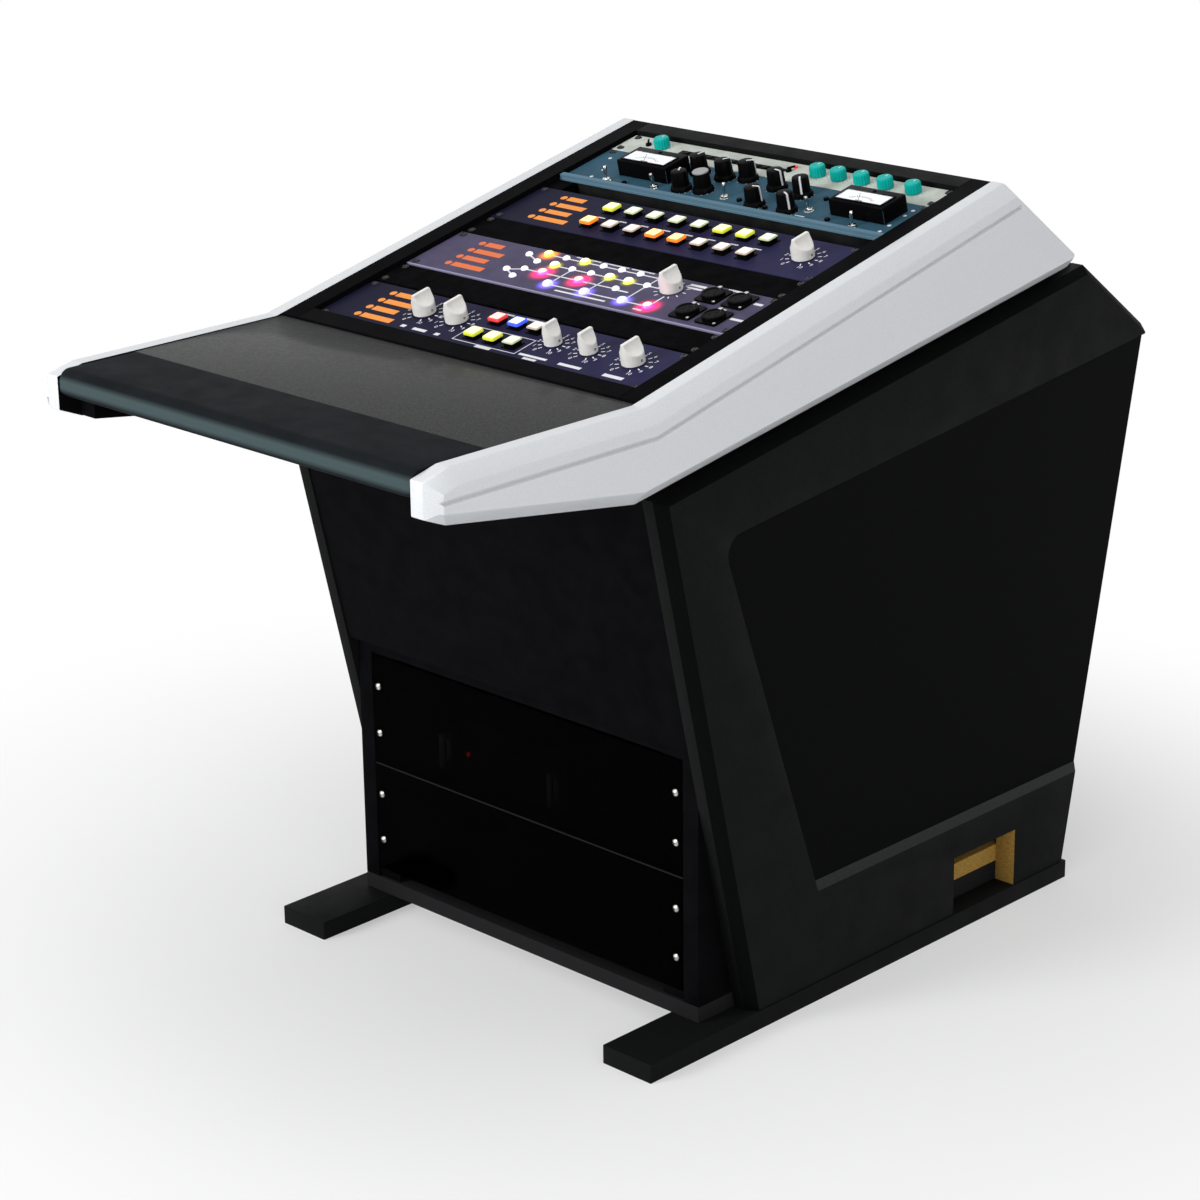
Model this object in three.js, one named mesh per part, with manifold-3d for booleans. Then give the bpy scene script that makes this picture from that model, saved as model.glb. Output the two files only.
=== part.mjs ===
// Studio desk: a sloped 19 inch rack bay between two bevelled cheeks, a padded armrest in front,
// a second rack bay below, and side panels that lean in towards two floor runners.
// Millimetres, +Z up, the user sits at -Y, the origin is on the floor under the middle of the desk.

import * as THREE from 'three';
import { mergeVertices } from 'three/addons/utils/BufferGeometryUtils.js';
import Module from 'manifold-3d';

const wasm = await Module();
wasm.setup();

// Fits and cutters
const GAP = 0.3;                  // clearance between touching pieces
const OVERRUN = 4;                // how far cutters pass the faces that they cut
const WELD_DISTANCE = 1e-4;
const CIRCLE_SIDES = 32;

// The 19 inch rack standard
const RACK_UNIT_HEIGHT = 44.45;
const PANEL_WIDTH = 482.6;
const PANEL_THICKNESS = 3;
const PANEL_TRIM_HEIGHT = 0.8;    // a panel is this much lower than its rack units
const PANEL_EDGE_BEVEL = 0.6;
const MOUNT_END_INSET = 8.75;     // from a panel's end to the middle of its slots
const MOUNT_EDGE_INSET = 6.35;    // from a panel's long edge to the nearest slot
const TALL_MOUNT_SPACING = 57.15; // between the slots of a three unit panel
const SLOT_WIDTH = 6.8;
const SLOT_LENGTH = 10.2;
const EAR_WIDTH = 26.3;           // from a panel's end to the chassis behind it
const CHASSIS_INSET = 2.2;        // from the panel's long edges to the chassis

// The desk across its width
const BORDER_WIDTH = 25.5;        // black board between the panels' ends and each cheek
const CHEEK_FLAT_WIDTH = 17;
const CHEEK_BEVEL_WIDTH = 16;
const SIDE_INSET = 1.8;           // the side panel's inner face lies this far inside the cheek's
const SIDE_THICKNESS = 27;
const SIDE_BEVEL_WIDTH = 12;

// The desk from the side: y is counted back from the cheeks' front, z up from the floor
const DESK_DEPTH = 1132;
const ARM_HEIGHT = 730;
const NOSE_CHAMFER_LENGTH = 33;
const NOSE_CHAMFER_DROP = 8;
const NOSE_FACE_HEIGHT = 36;
const NOSE_UNDERCUT_LENGTH = 28;
const RACK_SLOPE_DEG = 13.15;
const REAR_BORDER = 24.66;        // along the slope, from the last rack unit to the top edge of the back
const REAR_SLOPE_DEPTH = 272;     // from that edge back to the rearmost edge
const REAR_SLOPE_DEG = 37.4;
const CHEEK_REAR_SETBACK = 152;   // in front of the rearmost edge
const UNDER_BEND_LEAD = 15;       // the cheek's lower edge bends this far in front of its top edge
const CHEEK_DEPTH_AT_BEND = 95;
const CHEEK_DEPTH_AT_NOSE = 55.762; // where the nose's undercut meets the arm's lower edge
const UNDER_REAR_DEG = 9.17;

// Bevels round the cheek's outer face, one for each edge of its outline
const CHEEK_BEVELS = { undercut: 10, underFront: 16, underRear: 16, heel: 8, rear: 8, slope: 14, arm: 14, nose: 14, face: 12 };
const GROOVE_DROP = 28;           // from the cheek's top edge to the middle of the long groove
const GROOVE_WIDTH = 5;
const GROOVE_DEPTH = 3.5;

// Runners and floor board
const RUNNER_WIDTH = 70;
const RUNNER_HEIGHT = 22;
const RUNNER_FRONT_REACH = 162.1; // in front of the side panel's lower edge
const RUNNER_REAR_REACH = 2.4;    // behind it
const RUNNER_PROUD = 1.5;         // outside the side panel
const BASE_THICKNESS = 18;
const BATTEN_WIDTH = 18;
const BATTEN_HEIGHT = 25.7;
const BATTEN_SETBACK = 6;         // behind the lower rack's carcass

// Side panels
const SHADOW_GAP = 10;            // between the cheek's lower edge and the side panel's top edge
const SIDE_FRONT_SETBACK = 15;    // the side panel's top corner lies this far behind the bend
const FRONT_LEAN_DEG = 12.9;
const REAR_LEAN_DEG = 11.4;
const SIDE_BEVELS = { bottom: 0, rear: 5, slope: 10, top: 7, front: 10 };
const RECESS_DEPTH = 6;
const RECESS_FRONT_TOP = 78;      // border in front of the recess at its top
const RECESS_FRONT_BOTTOM = 131;
const RECESS_TOP_BORDER = 80;
const RECESS_REAR_DROP = 10;
const RECESS_BOTTOM_BORDER = 119;
const RECESS_LEDGE_RISE = 10;     // height of the sloping ledge along the recess's lower edge
const RECESS_DRAFT = 1.5;
const RECESS_CORNER_RADIUS = 22;
const PORT_LENGTH = 113;
const PORT_HEIGHT = 70;
const PORT_REAR_BORDER = 98;

// Boards between the side panels
const BOARD_THICKNESS = 16;
const FLUSH_SETBACK = 0.6;        // boards sit this far under the cheeks' edges
const MODESTY_SETBACK = 1.5;
const HEAD_RAIL_DEPTH = 42;
const FLANGE_DROP = 60;           // how far the rack boards reach down inside the side panels
const LINER_FRONT_Y = 26;
const LINER_HIDE = 1.5;           // the rack boards end this far above the cheeks' lower edge
const FLANGE_HIDE = 3;
const LEDGE_WIDTH = 22.9;
const LEDGE_HEIGHT = 20;
const REAR_CAP_DEPTH = 25;

// Armrest and work surface
const SURFACE_DROP = 1;           // the work surface lies this far under the cheeks' top
const SURFACE_THICKNESS = 18;
const SUBTOP_THICKNESS = 18;
const SUBTOP_FRONT_Y = 24;
const SURFACE_REAR_REACH = 8;     // behind the bend
const PAD_DEPTH = 100;
const PAD_NOSE_RADIUS = 13;
const PAD_UNDER_RADIUS = 6;
const PAD_NOSE_SETBACK = 1;
const PAD_NOSE_HEIGHT = 27.5;
const PAD_PROUD = 0.7;            // the pad's crown over the work surface
const PAD_REAR_RADIUS = 1.4;
const PAD_END_DRAW = 2.2;         // how far the cover draws in at the pad's two ends
const PAD_END_LENGTH = 6.6;

// Sloped rack bay: depths are counted along the slope from the bend
const RACK_START = 33.4;
const RACK_RECESS = 6.2;          // the panels lie this far under the cheeks' top edge
const PANEL_GAP = 3;              // open gap in front of some of the panels
const LIP_UNIT_GAP = 27.2;        // open gap in front of the unit with the raised lip
const SWITCH_CHASSIS_DEPTH = 160;
const MATRIX_CHASSIS_DEPTH = 140;
const METER_CHASSIS_DEPTH = 220;
const PREAMP_CHASSIS_DEPTH = 110;

// Lower rack bay
const LOWER_RACK_SETBACK = 13.4;  // behind the modesty panel's lower edge
const CARCASS_DEPTH = 398;
const CARCASS_SIDE = 22;
const CARCASS_TOP = 16;
const LOWER_PANEL_UNITS = 3;
const LOWER_PANEL_COUNT = 2;
const LOWER_BAY_CLEARANCE = 12;   // under the lowest panel
const LOWER_BAY_HEADROOM = 1.8;
const SHELF_THICKNESS = 14;
const SHELF_SETBACK = 8;
const SHELF_DROP = 4;             // the shelf's top lies this far under the seam of the two panels
const RAIL_THICKNESS = 3;
const RAIL_WIDTH = 32.4;
const SUPPLY_WIDTH = 200;
const SUPPLY_HEIGHT = 87;
const SUPPLY_DEPTH = 230;
const SUPPLY_X = -50;
const SUPPLY_SETBACK = 20;
const SUPPLY_BEVEL = 3;

// Controls
const SHAFT_DIAMETER = 6;
const SHAFT_HEIGHT = 11;
const CAP_SHAFT_HEIGHT = 7.5;
const SHAFT_SIDES = 12;
const KNOB_LIFT = 0.6;            // a knob's skirt over its panel
const BORE_ROOM = 1;              // free height over the shaft's end
const LARGE_KNOB_DIAMETER = 25.4;
const SMALL_KNOB_DIAMETER = 19.6;
const KNOB_HEIGHT = 25;
const KNOB_COLLAR_HEIGHT = 11;    // the round part under the finger ridge
const KNOB_RIDGE_WIDTH = 4.5;
const KNOB_BASE_BEVEL = 0.8;
const CAP_DIAMETER = 19;
const CAP_HEIGHT = 12.5;
const CAP_BEVEL = 1.6;
const CAP_FLUTES = 12;
const CAP_FLUTE_DEPTH = 0.7;
const CAP_STEPS_PER_FLUTE = 4;
const BUTTON_SIZE = 14.4;
const BUTTON_RISE = 6;
const BUTTON_TRAVEL = 3;
const BUTTON_FLANGE = 1.6;
const BUTTON_FLANGE_THICKNESS = 2.5;
const BUTTON_FOOT = 3.5;          // stem under the flange
const BUTTON_TOP_BEVEL = 1.2;

// Fittings that stay part of their unit
const POINTER_SKIRT_DIAMETER = 21;
const POINTER_SKIRT_HEIGHT = 5;
const POINTER_BODY_DIAMETER = 15;
const POINTER_TOP_DIAMETER = 12.5;
const POINTER_HEIGHT = 19;
const POINTER_SIDES = 16;
const TOGGLE_NUT_DIAMETER = 8.5;
const TOGGLE_NUT_HEIGHT = 3;
const TOGGLE_ROOT_DIAMETER = 2.4;
const TOGGLE_TIP_DIAMETER = 3.4;
const TOGGLE_HEIGHT = 14;
const TOGGLE_SIDES = 6;
const METER_WIDTH = 76;
const METER_DEPTH = 40;
const METER_HEIGHT = 20;
const METER_BEVEL = 3;
const METER_SIDE_BORDER = 6;      // beside the scale's window
const METER_FRONT_BORDER = 4;
const METER_REAR_BORDER = 14;
const METER_WINDOW_DEPTH = 1.2;
const LIP_DEPTH = 7;
const LIP_HEIGHT = 4;
const JACK_DIAMETER = 17;
const JACK_HEIGHT = 5;

const rad = THREE.MathUtils.degToRad;
const slope = rad(RACK_SLOPE_DEG);

// Widths that follow from the rack standard
const halfPanel = PANEL_WIDTH / 2;
const cheekInner = halfPanel + BORDER_WIDTH;
const cheekOuter = cheekInner + CHEEK_FLAT_WIDTH + CHEEK_BEVEL_WIDTH;
const sideInner = cheekInner - SIDE_INSET;
const sideOuter = sideInner + SIDE_THICKNESS;
const linerInner = halfPanel + 2 * GAP;
const ledgeInner = linerInner - LEDGE_WIDTH;
const boardHalf = sideInner - GAP;
const betweenLiners = linerInner - GAP;
const runnerOuter = sideOuter + RUNNER_PROUD;

// Where the rack gear sits along the slope: rack units high, and the open gap in front of each piece
const rackStack = [
  { name: 'unit_1', units: 2, gap: 0, depth: SWITCH_CHASSIS_DEPTH },
  { name: 'filler_1', units: 1, gap: PANEL_GAP },
  { name: 'unit_2', units: 2, gap: PANEL_GAP, depth: MATRIX_CHASSIS_DEPTH },
  { name: 'filler_2', units: 1, gap: 0 },
  { name: 'unit_3', units: 2, gap: 0, depth: SWITCH_CHASSIS_DEPTH },
  { name: 'unit_4', units: 2, gap: LIP_UNIT_GAP, depth: METER_CHASSIS_DEPTH },
  { name: 'unit_5', units: 1, gap: 0, depth: PREAMP_CHASSIS_DEPTH },
];
let runningS = RACK_START;
for (const piece of rackStack) {
  piece.s = runningS + piece.gap;
  runningS = piece.s + piece.units * RACK_UNIT_HEIGHT;
}
const rackEnd = runningS;

// Places that follow from the side view
const point = (y, z) => new THREE.Vector2(y, z);
const rearTopY = DESK_DEPTH - REAR_SLOPE_DEPTH;
const bendY = rearTopY - (rackEnd + REAR_BORDER) * Math.cos(slope);
const underBendY = bendY - UNDER_BEND_LEAD;
const cheekRearY = DESK_DEPTH - CHEEK_REAR_SETBACK;
const sideFrontY = bendY + SIDE_FRONT_SETBACK;
const surfaceRearY = bendY + SURFACE_REAR_REACH;
const noseTopZ = ARM_HEIGHT - NOSE_CHAMFER_DROP;
const noseLowZ = noseTopZ - NOSE_FACE_HEIGHT;
const underBendZ = ARM_HEIGHT - CHEEK_DEPTH_AT_BEND;
const cheekTopZ = (y) => ARM_HEIGHT + Math.max(0, y - bendY) * Math.tan(slope);
const underRearZ = (y) => underBendZ + (y - underBendY) * Math.tan(rad(UNDER_REAR_DEG));
const underFrontZ = (y) => THREE.MathUtils.mapLinear(y, underBendY, NOSE_UNDERCUT_LENGTH, underBendZ, ARM_HEIGHT - CHEEK_DEPTH_AT_NOSE);
const rearSlopeZ = (y) => cheekTopZ(rearTopY) - (y - rearTopY) * Math.tan(rad(REAR_SLOPE_DEG));
const sideTopZ = (y) => underRearZ(y) - SHADOW_GAP;
const rearmostZ = rearSlopeZ(DESK_DEPTH);
const frontEdgeY = (z) => sideFrontY + (sideTopZ(sideFrontY) - z) * Math.tan(rad(FRONT_LEAN_DEG));
const rearEdgeY = (z) => DESK_DEPTH - (rearmostZ - z) * Math.tan(rad(REAR_LEAN_DEG));
const onSlope = (s, n) => point(bendY + s * Math.cos(slope) - n * Math.sin(slope),
  ARM_HEIGHT + s * Math.sin(slope) + n * Math.cos(slope));
const floorZ = RUNNER_HEIGHT + GAP;
const baseTopZ = floorZ + BASE_THICKNESS;
const surfaceTopZ = ARM_HEIGHT - SURFACE_DROP;
const subtopTopZ = surfaceTopZ - SURFACE_THICKNESS;
const subtopLowZ = subtopTopZ - SUBTOP_THICKNESS;
const boardLean = BOARD_THICKNESS / Math.cos(rad(FRONT_LEAN_DEG));
const modestyFrontY = (z) => frontEdgeY(z) + MODESTY_SETBACK;
const modestyRearY = (z) => modestyFrontY(z) + boardLean;
const lowerBayLowZ = baseTopZ + LOWER_BAY_CLEARANCE;
const lowerPanelPitch = LOWER_PANEL_UNITS * RACK_UNIT_HEIGHT;
const lowerBayTopZ = lowerBayLowZ + LOWER_PANEL_COUNT * lowerPanelPitch;
const carcassCeilingZ = lowerBayTopZ + LOWER_BAY_HEADROOM;
const carcassTopZ = carcassCeilingZ + CARCASS_TOP;
const seamZ = lowerBayLowZ + lowerPanelPitch;
const shelfTopZ = seamZ - SHELF_DROP;
const lowerFrontY = modestyFrontY(carcassTopZ) + LOWER_RACK_SETBACK;

const paint = (color, roughness, metalness = 0) => new THREE.MeshStandardMaterial({ color, roughness, metalness });
const silver = paint(0xc9ccd2, 0.42);
const black = paint(0x1b1c1c, 0.55);
const padVinyl = paint(0x2a2b2c, 0.5);
const laminate = paint(0x3b3c3c, 0.38);
const mdf = paint(0xb08a4a, 0.8);
const smoked = paint(0x0a0a0b, 0.12);
const steel = paint(0x2d2f31, 0.45, 0.6);
const navy = paint(0x26233a, 0.5);
const lilac = paint(0x57506e, 0.45);
const blue = paint(0x35566e, 0.5);
const ivory = paint(0xd5d2bd, 0.5);
const teal = paint(0x13a594, 0.4);
const whitePlastic = paint(0xe9e6da, 0.35);
const panelColours = { unit_1: navy, filler_1: black, unit_2: lilac, filler_2: black, unit_3: navy, unit_4: blue, unit_5: ivory };
const buttonColours = {
  lamp: paint(0xdfe4bd, 0.35), yellow: paint(0xe8e03a, 0.35), orange: paint(0xf08a2a, 0.35), red: paint(0xe0463c, 0.35),
  blue: paint(0x4a5ae0, 0.35),
};

const desk = new THREE.Group();
desk.position.y = -DESK_DEPTH / 2;
const rack = new THREE.Group();
rack.position.set(0, bendY, ARM_HEIGHT);
rack.rotation.x = slope;
desk.add(rack);

function place(name, geometry, material, parent = desk) {
  const mesh = new THREE.Mesh(geometry, material);
  mesh.name = name;
  parent.add(mesh);
  return mesh;
}

// Solids: joins and cuts

function solidOf(geometry) {
  const bare = geometry.clone();
  bare.deleteAttribute('normal');
  bare.deleteAttribute('uv');
  const merged = mergeVertices(bare, WELD_DISTANCE);
  return new wasm.Manifold(new wasm.Mesh({
    numProp: 3,
    vertProperties: new Float32Array(merged.attributes.position.array),
    triVerts: new Uint32Array(merged.index.array),
  }));
}

function geometryOf(solid) {
  const mesh = solid.getMesh();
  const geometry = new THREE.BufferGeometry();
  geometry.setAttribute('position', new THREE.BufferAttribute(new Float32Array(mesh.vertProperties), 3));
  geometry.setIndex(new THREE.BufferAttribute(new Uint32Array(mesh.triVerts), 1));
  geometry.computeVertexNormals();
  return geometry;
}

const join = (...pieces) => geometryOf(pieces.map(solidOf).reduce((a, b) => a.add(b)));
const cut = (piece, ...cutters) => geometryOf(cutters.map(solidOf).reduce((a, b) => a.subtract(b), solidOf(piece)));
const common = (a, b) => geometryOf(solidOf(a).intersect(solidOf(b)));

// A box between two corners
function block(x0, x1, y0, y1, z0, z1) {
  return new THREE.BoxGeometry(x1 - x0, y1 - y0, z1 - z0)
    .translate((x0 + x1) / 2, (y0 + y1) / 2, (z0 + z1) / 2);
}

// A closed skin through rings of points that all have the same count, capped at both ends
function loft(rings, capOutline) {
  const count = rings[0].length;
  const positions = rings.flatMap((ring) => ring.flatMap((p) => [p.x, p.y, p.z]));
  const faces = [];
  const capFaces = THREE.ShapeUtils.triangulateShape(capOutline, []);
  const last = (rings.length - 1) * count;
  for (const [a, b, c] of capFaces) {
    faces.push(c, b, a, last + a, last + b, last + c);
  }
  for (let ring = 0; ring < rings.length - 1; ring += 1) {
    for (let i = 0; i < count; i += 1) {
      const a = ring * count + i;
      const b = ring * count + (i + 1) % count;
      faces.push(a, b, b + count, a, b + count, a + count);
    }
  }
  const geometry = new THREE.BufferGeometry();
  geometry.setAttribute('position', new THREE.Float32BufferAttribute(positions, 3));
  geometry.setIndex(faces);
  return geometry;
}

// Sections across the desk: each is an x and an outline in y and z, wound counterclockwise from +X
function loftAcross(sections) {
  const rings = sections.map(({ x, outline }) => outline.map((p) => new THREE.Vector3(x, p.x, p.y)));
  return loft(rings, sections[0].outline);
}

const board = (outline, x0, x1) => loftAcross([{ x: x0, outline }, { x: x1, outline }]);

function mirrored(geometry) {
  const copy = geometry.clone().scale(-1, 1, 1);
  const index = copy.index.array;
  for (let i = 0; i < index.length; i += 3) {
    const first = index[i];
    index[i] = index[i + 1];
    index[i + 1] = first;
  }
  copy.computeVertexNormals();
  return copy;
}

function placePair(name, geometry, material) {
  place(`${name}_right`, geometry, material);
  place(`${name}_left`, mirrored(geometry), material);
}

// Outlines in the side view

function meet(a, b, c, d) {
  const r = b.clone().sub(a);
  const s = d.clone().sub(c);
  const t = c.clone().sub(a).cross(s) / r.cross(s);
  return a.clone().addScaledVector(r, t);
}

function shifted(a, b, inset) {
  const side = b.clone().sub(a).normalize();
  const inward = point(-side.y, side.x).multiplyScalar(inset);
  return [a.clone().add(inward), b.clone().add(inward)];
}

// Moves every edge of a counterclockwise outline inwards by its own amount
function insetOutline(outline, insets) {
  const count = outline.length;
  const edges = outline.map((p, i) => shifted(p, outline[(i + 1) % count], insets[i]));
  return outline.map((p, i) => meet(...edges[(i + count - 1) % count], ...edges[i]));
}

function roundedCorner(before, corner, after, radius, steps) {
  const u = before.clone().sub(corner).normalize();
  const v = after.clone().sub(corner).normalize();
  const half = Math.acos(u.dot(v)) / 2;
  const centre = corner.clone().addScaledVector(u.clone().add(v).normalize(), radius / Math.sin(half));
  const reach = radius / Math.tan(half);
  const start = corner.clone().addScaledVector(u, reach).sub(centre);
  const sweep = (Math.PI - 2 * half) * Math.sign(v.cross(u));
  return Array.from({ length: steps + 1 }, (_, i) => start.clone()
    .rotateAround(point(0, 0), (sweep * i) / steps).add(centre));
}

// Cheeks: a flat slab whose outer face is drawn in by a bevel all round, with one long groove

function cheekOutline() {
  return [
    point(0, noseLowZ),
    point(NOSE_UNDERCUT_LENGTH, underFrontZ(NOSE_UNDERCUT_LENGTH)),
    point(underBendY, underBendZ),
    point(cheekRearY, underRearZ(cheekRearY)),
    point(cheekRearY, rearSlopeZ(cheekRearY)),
    point(rearTopY, cheekTopZ(rearTopY)),
    point(bendY, ARM_HEIGHT),
    point(NOSE_CHAMFER_LENGTH, ARM_HEIGHT),
    point(0, noseTopZ),
  ];
}

function cheekGroove() {
  const arm = [point(-OVERRUN, ARM_HEIGHT - GROOVE_DROP), point(bendY, ARM_HEIGHT - GROOVE_DROP)];
  const rise = [onSlope(0, -GROOVE_DROP), onSlope(RACK_START, -GROOVE_DROP)];
  const rearStop = shifted(point(cheekRearY, rearSlopeZ(cheekRearY)), point(rearTopY, cheekTopZ(rearTopY)),
    CHEEK_BEVELS.rear + GROOVE_WIDTH);
  const path = [arm[0], meet(...arm, ...rise), meet(...rise, ...rearStop)];
  const mitre = point(-Math.sin(slope / 2), Math.cos(slope / 2)).divideScalar(Math.cos(slope / 2));
  const across = [point(0, 1), mitre, point(-Math.sin(slope), Math.cos(slope))];
  const mouth = (GROOVE_WIDTH / 2) * (1 + OVERRUN / GROOVE_DEPTH);
  const rings = path.map((p, i) => [
    new THREE.Vector3(cheekOuter - GROOVE_DEPTH, p.x, p.y),
    new THREE.Vector3(cheekOuter + OVERRUN, p.x + across[i].x * mouth, p.y + across[i].y * mouth),
    new THREE.Vector3(cheekOuter + OVERRUN, p.x - across[i].x * mouth, p.y - across[i].y * mouth),
  ]);
  return loft(rings, [point(0, 0), point(1, -1), point(1, 1)]);
}

function makeCheeks() {
  const b = CHEEK_BEVELS;
  const outline = cheekOutline();
  const face = insetOutline(outline, [b.undercut, b.underFront, b.underRear, b.heel, b.rear, b.slope, b.arm, b.nose, b.face]);
  const slab = loftAcross([
    { x: cheekInner, outline },
    { x: cheekInner + CHEEK_FLAT_WIDTH, outline },
    { x: cheekOuter, outline: face },
  ]);
  placePair('cheek', cut(slab, cheekGroove()), silver);
}

// Side panels: leaning boards with a bevelled edge, a shallow field in the outer face and a cable port

function recessOutline(lowZ, growth) {
  const topZ = sideTopZ(frontEdgeY(floorZ + RECESS_BOTTOM_BORDER)) - RECESS_TOP_BORDER;
  const frontAt = (z) => {
    const share = (z - floorZ - RECESS_BOTTOM_BORDER) / (topZ - floorZ - RECESS_BOTTOM_BORDER);
    return frontEdgeY(z) + THREE.MathUtils.lerp(RECESS_FRONT_BOTTOM, RECESS_FRONT_TOP, share) - growth;
  };
  const farY = DESK_DEPTH + OVERRUN;
  const frontLow = point(frontAt(lowZ), lowZ);
  const frontTop = point(frontAt(topZ), topZ + growth);
  const rearTopZ = rearmostZ - RECESS_REAR_DROP + growth;
  const rearTop = point(farY, rearTopZ + ((rearTopZ - frontTop.y) * OVERRUN) / (DESK_DEPTH - frontTop.x));
  return [frontLow, point(farY, lowZ), rearTop, ...roundedCorner(rearTop, frontTop, frontLow, RECESS_CORNER_RADIUS, 5)];
}

function sideRecess() {
  const depthShare = (RECESS_DEPTH + OVERRUN) / RECESS_DEPTH;
  const lowZ = floorZ + RECESS_BOTTOM_BORDER;
  return loftAcross([
    { x: sideOuter - RECESS_DEPTH, outline: recessOutline(lowZ, 0) },
    { x: sideOuter + OVERRUN, outline: recessOutline(lowZ - RECESS_LEDGE_RISE * depthShare, RECESS_DRAFT * depthShare) },
  ]);
}

function makeSidePanels() {
  const b = SIDE_BEVELS;
  const topLine = [point(sideFrontY, sideTopZ(sideFrontY)), point(rearTopY, sideTopZ(rearTopY))];
  const rearLine = [point(rearTopY, rearSlopeZ(rearTopY)), point(DESK_DEPTH, rearmostZ)];
  const outline = [
    point(frontEdgeY(floorZ), floorZ),
    point(rearEdgeY(floorZ), floorZ),
    point(DESK_DEPTH, rearmostZ),
    meet(...topLine, ...rearLine),
    topLine[0],
  ];
  const face = insetOutline(outline, [b.bottom, b.rear, b.slope, b.top, b.front]);
  const slab = loftAcross([
    { x: sideInner, outline },
    { x: sideOuter - SIDE_BEVEL_WIDTH, outline },
    { x: sideOuter, outline: face },
  ]);
  const portRear = rearEdgeY(floorZ) - PORT_REAR_BORDER;
  const port = block(sideInner - OVERRUN, sideOuter + OVERRUN, portRear - PORT_LENGTH, portRear,
    floorZ - OVERRUN, floorZ + PORT_HEIGHT);
  placePair('side_panel', cut(slab, sideRecess(), port), black);
}

// Runners and the floor board with its two glued battens

function makeBase() {
  const runner = block(runnerOuter - RUNNER_WIDTH, runnerOuter, frontEdgeY(floorZ) - RUNNER_FRONT_REACH,
    rearEdgeY(floorZ) + RUNNER_REAR_REACH, 0, RUNNER_HEIGHT);
  placePair('runner', runner, black);
  const rearY = rearEdgeY(floorZ) - FLUSH_SETBACK - BOARD_THICKNESS / Math.cos(rad(REAR_LEAN_DEG)) - GAP;
  const floor = block(-boardHalf, boardHalf, lowerFrontY, rearY, floorZ, baseTopZ);
  const battenFront = lowerFrontY + CARCASS_DEPTH + BATTEN_SETBACK;
  const batten = block(boardHalf - BATTEN_WIDTH, boardHalf, battenFront, rearY, baseTopZ - BASE_THICKNESS / 2, baseTopZ + BATTEN_HEIGHT);
  place('base_board', join(floor, batten, mirrored(batten)), mdf);
}

// Modesty panel: wide between the side panels, narrow between the rack boards, with the head rail on top

function makeModestyPanel() {
  const lowZ = carcassTopZ + GAP;
  const shoulderZ = sideTopZ(sideFrontY);
  const topZ = subtopLowZ - GAP;
  const strip = (z0, z1) => [
    point(modestyFrontY(z0), z0), point(modestyRearY(z0), z0), point(modestyRearY(z1), z1), point(modestyFrontY(z1), z1),
  ];
  const railFrontY = surfaceRearY + GAP;
  const railS = RACK_START - GAP;
  const headRail = [
    point(railFrontY, topZ - HEAD_RAIL_DEPTH),
    point(onSlope(railS, -RACK_RECESS).x, topZ - HEAD_RAIL_DEPTH),
    onSlope(railS, -RACK_RECESS),
    onSlope(railS, -FLUSH_SETBACK),
    point(railFrontY, cheekTopZ(railFrontY) - FLUSH_SETBACK),
  ];
  place('modesty_panel', join(
    board(strip(lowZ, shoulderZ), -boardHalf, boardHalf),
    board(strip(shoulderZ - BOARD_THICKNESS, topZ), -betweenLiners, betweenLiners),
    board(headRail, -betweenLiners, betweenLiners),
  ), black);
}

// Rack boards: they line the cheeks, hang inside the side panels and carry the ledge that the panels screw to

function makeRackSides() {
  const outer = cheekInner - GAP;
  const topFrontY = surfaceRearY + GAP;
  const frontTopZ = subtopLowZ - GAP;
  const rearY = cheekRearY - OVERRUN;
  const rearLine = shifted(point(cheekRearY, rearSlopeZ(cheekRearY)), point(rearTopY, cheekTopZ(rearTopY)), FLUSH_SETBACK);
  const slopeLine = [onSlope(0, -FLUSH_SETBACK), onSlope(RACK_START, -FLUSH_SETBACK)];
  const liner = [
    point(LINER_FRONT_Y, underFrontZ(LINER_FRONT_Y) + LINER_HIDE),
    point(underBendY, underBendZ + LINER_HIDE),
    point(rearY, underRearZ(rearY) + LINER_HIDE),
    meet(...rearLine, point(rearY, 0), point(rearY, ARM_HEIGHT)),
    meet(...rearLine, ...slopeLine),
    point(topFrontY, cheekTopZ(topFrontY) - FLUSH_SETBACK),
    point(topFrontY, frontTopZ),
    point(LINER_FRONT_Y, frontTopZ),
  ];
  const flangeLowZ = sideTopZ(sideFrontY) - FLANGE_DROP;
  const flangeTopZ = underRearZ(modestyRearY(underBendZ)) + FLANGE_HIDE;
  const flange = [
    point(modestyRearY(flangeLowZ) + GAP, flangeLowZ),
    point(rearY, sideTopZ(rearY) - FLANGE_DROP),
    point(rearY, underRearZ(rearY) + FLANGE_HIDE),
    point(modestyRearY(flangeTopZ) + GAP, flangeTopZ),
  ];
  const ledgeTop = -RACK_RECESS - PANEL_THICKNESS - GAP;
  const ledge = [
    onSlope(RACK_START, ledgeTop - LEDGE_HEIGHT), onSlope(rackEnd, ledgeTop - LEDGE_HEIGHT),
    onSlope(rackEnd, ledgeTop), onSlope(RACK_START, ledgeTop),
  ];
  const deepX = (linerInner + boardHalf) / 2;
  placePair('rack_side', join(
    board(liner, linerInner, outer),
    board(flange, linerInner, boardHalf),
    board(ledge, ledgeInner, deepX),
  ), black);
}

// The sloping top of the back, and the back panel under it

const rearSlopeLine = (inset) => shifted(point(DESK_DEPTH, rearmostZ), point(rearTopY, rearSlopeZ(rearTopY)), inset);
const rearEdgeLine = (inset) => shifted(point(rearEdgeY(floorZ), floorZ), point(DESK_DEPTH, rearmostZ), inset);

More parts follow.
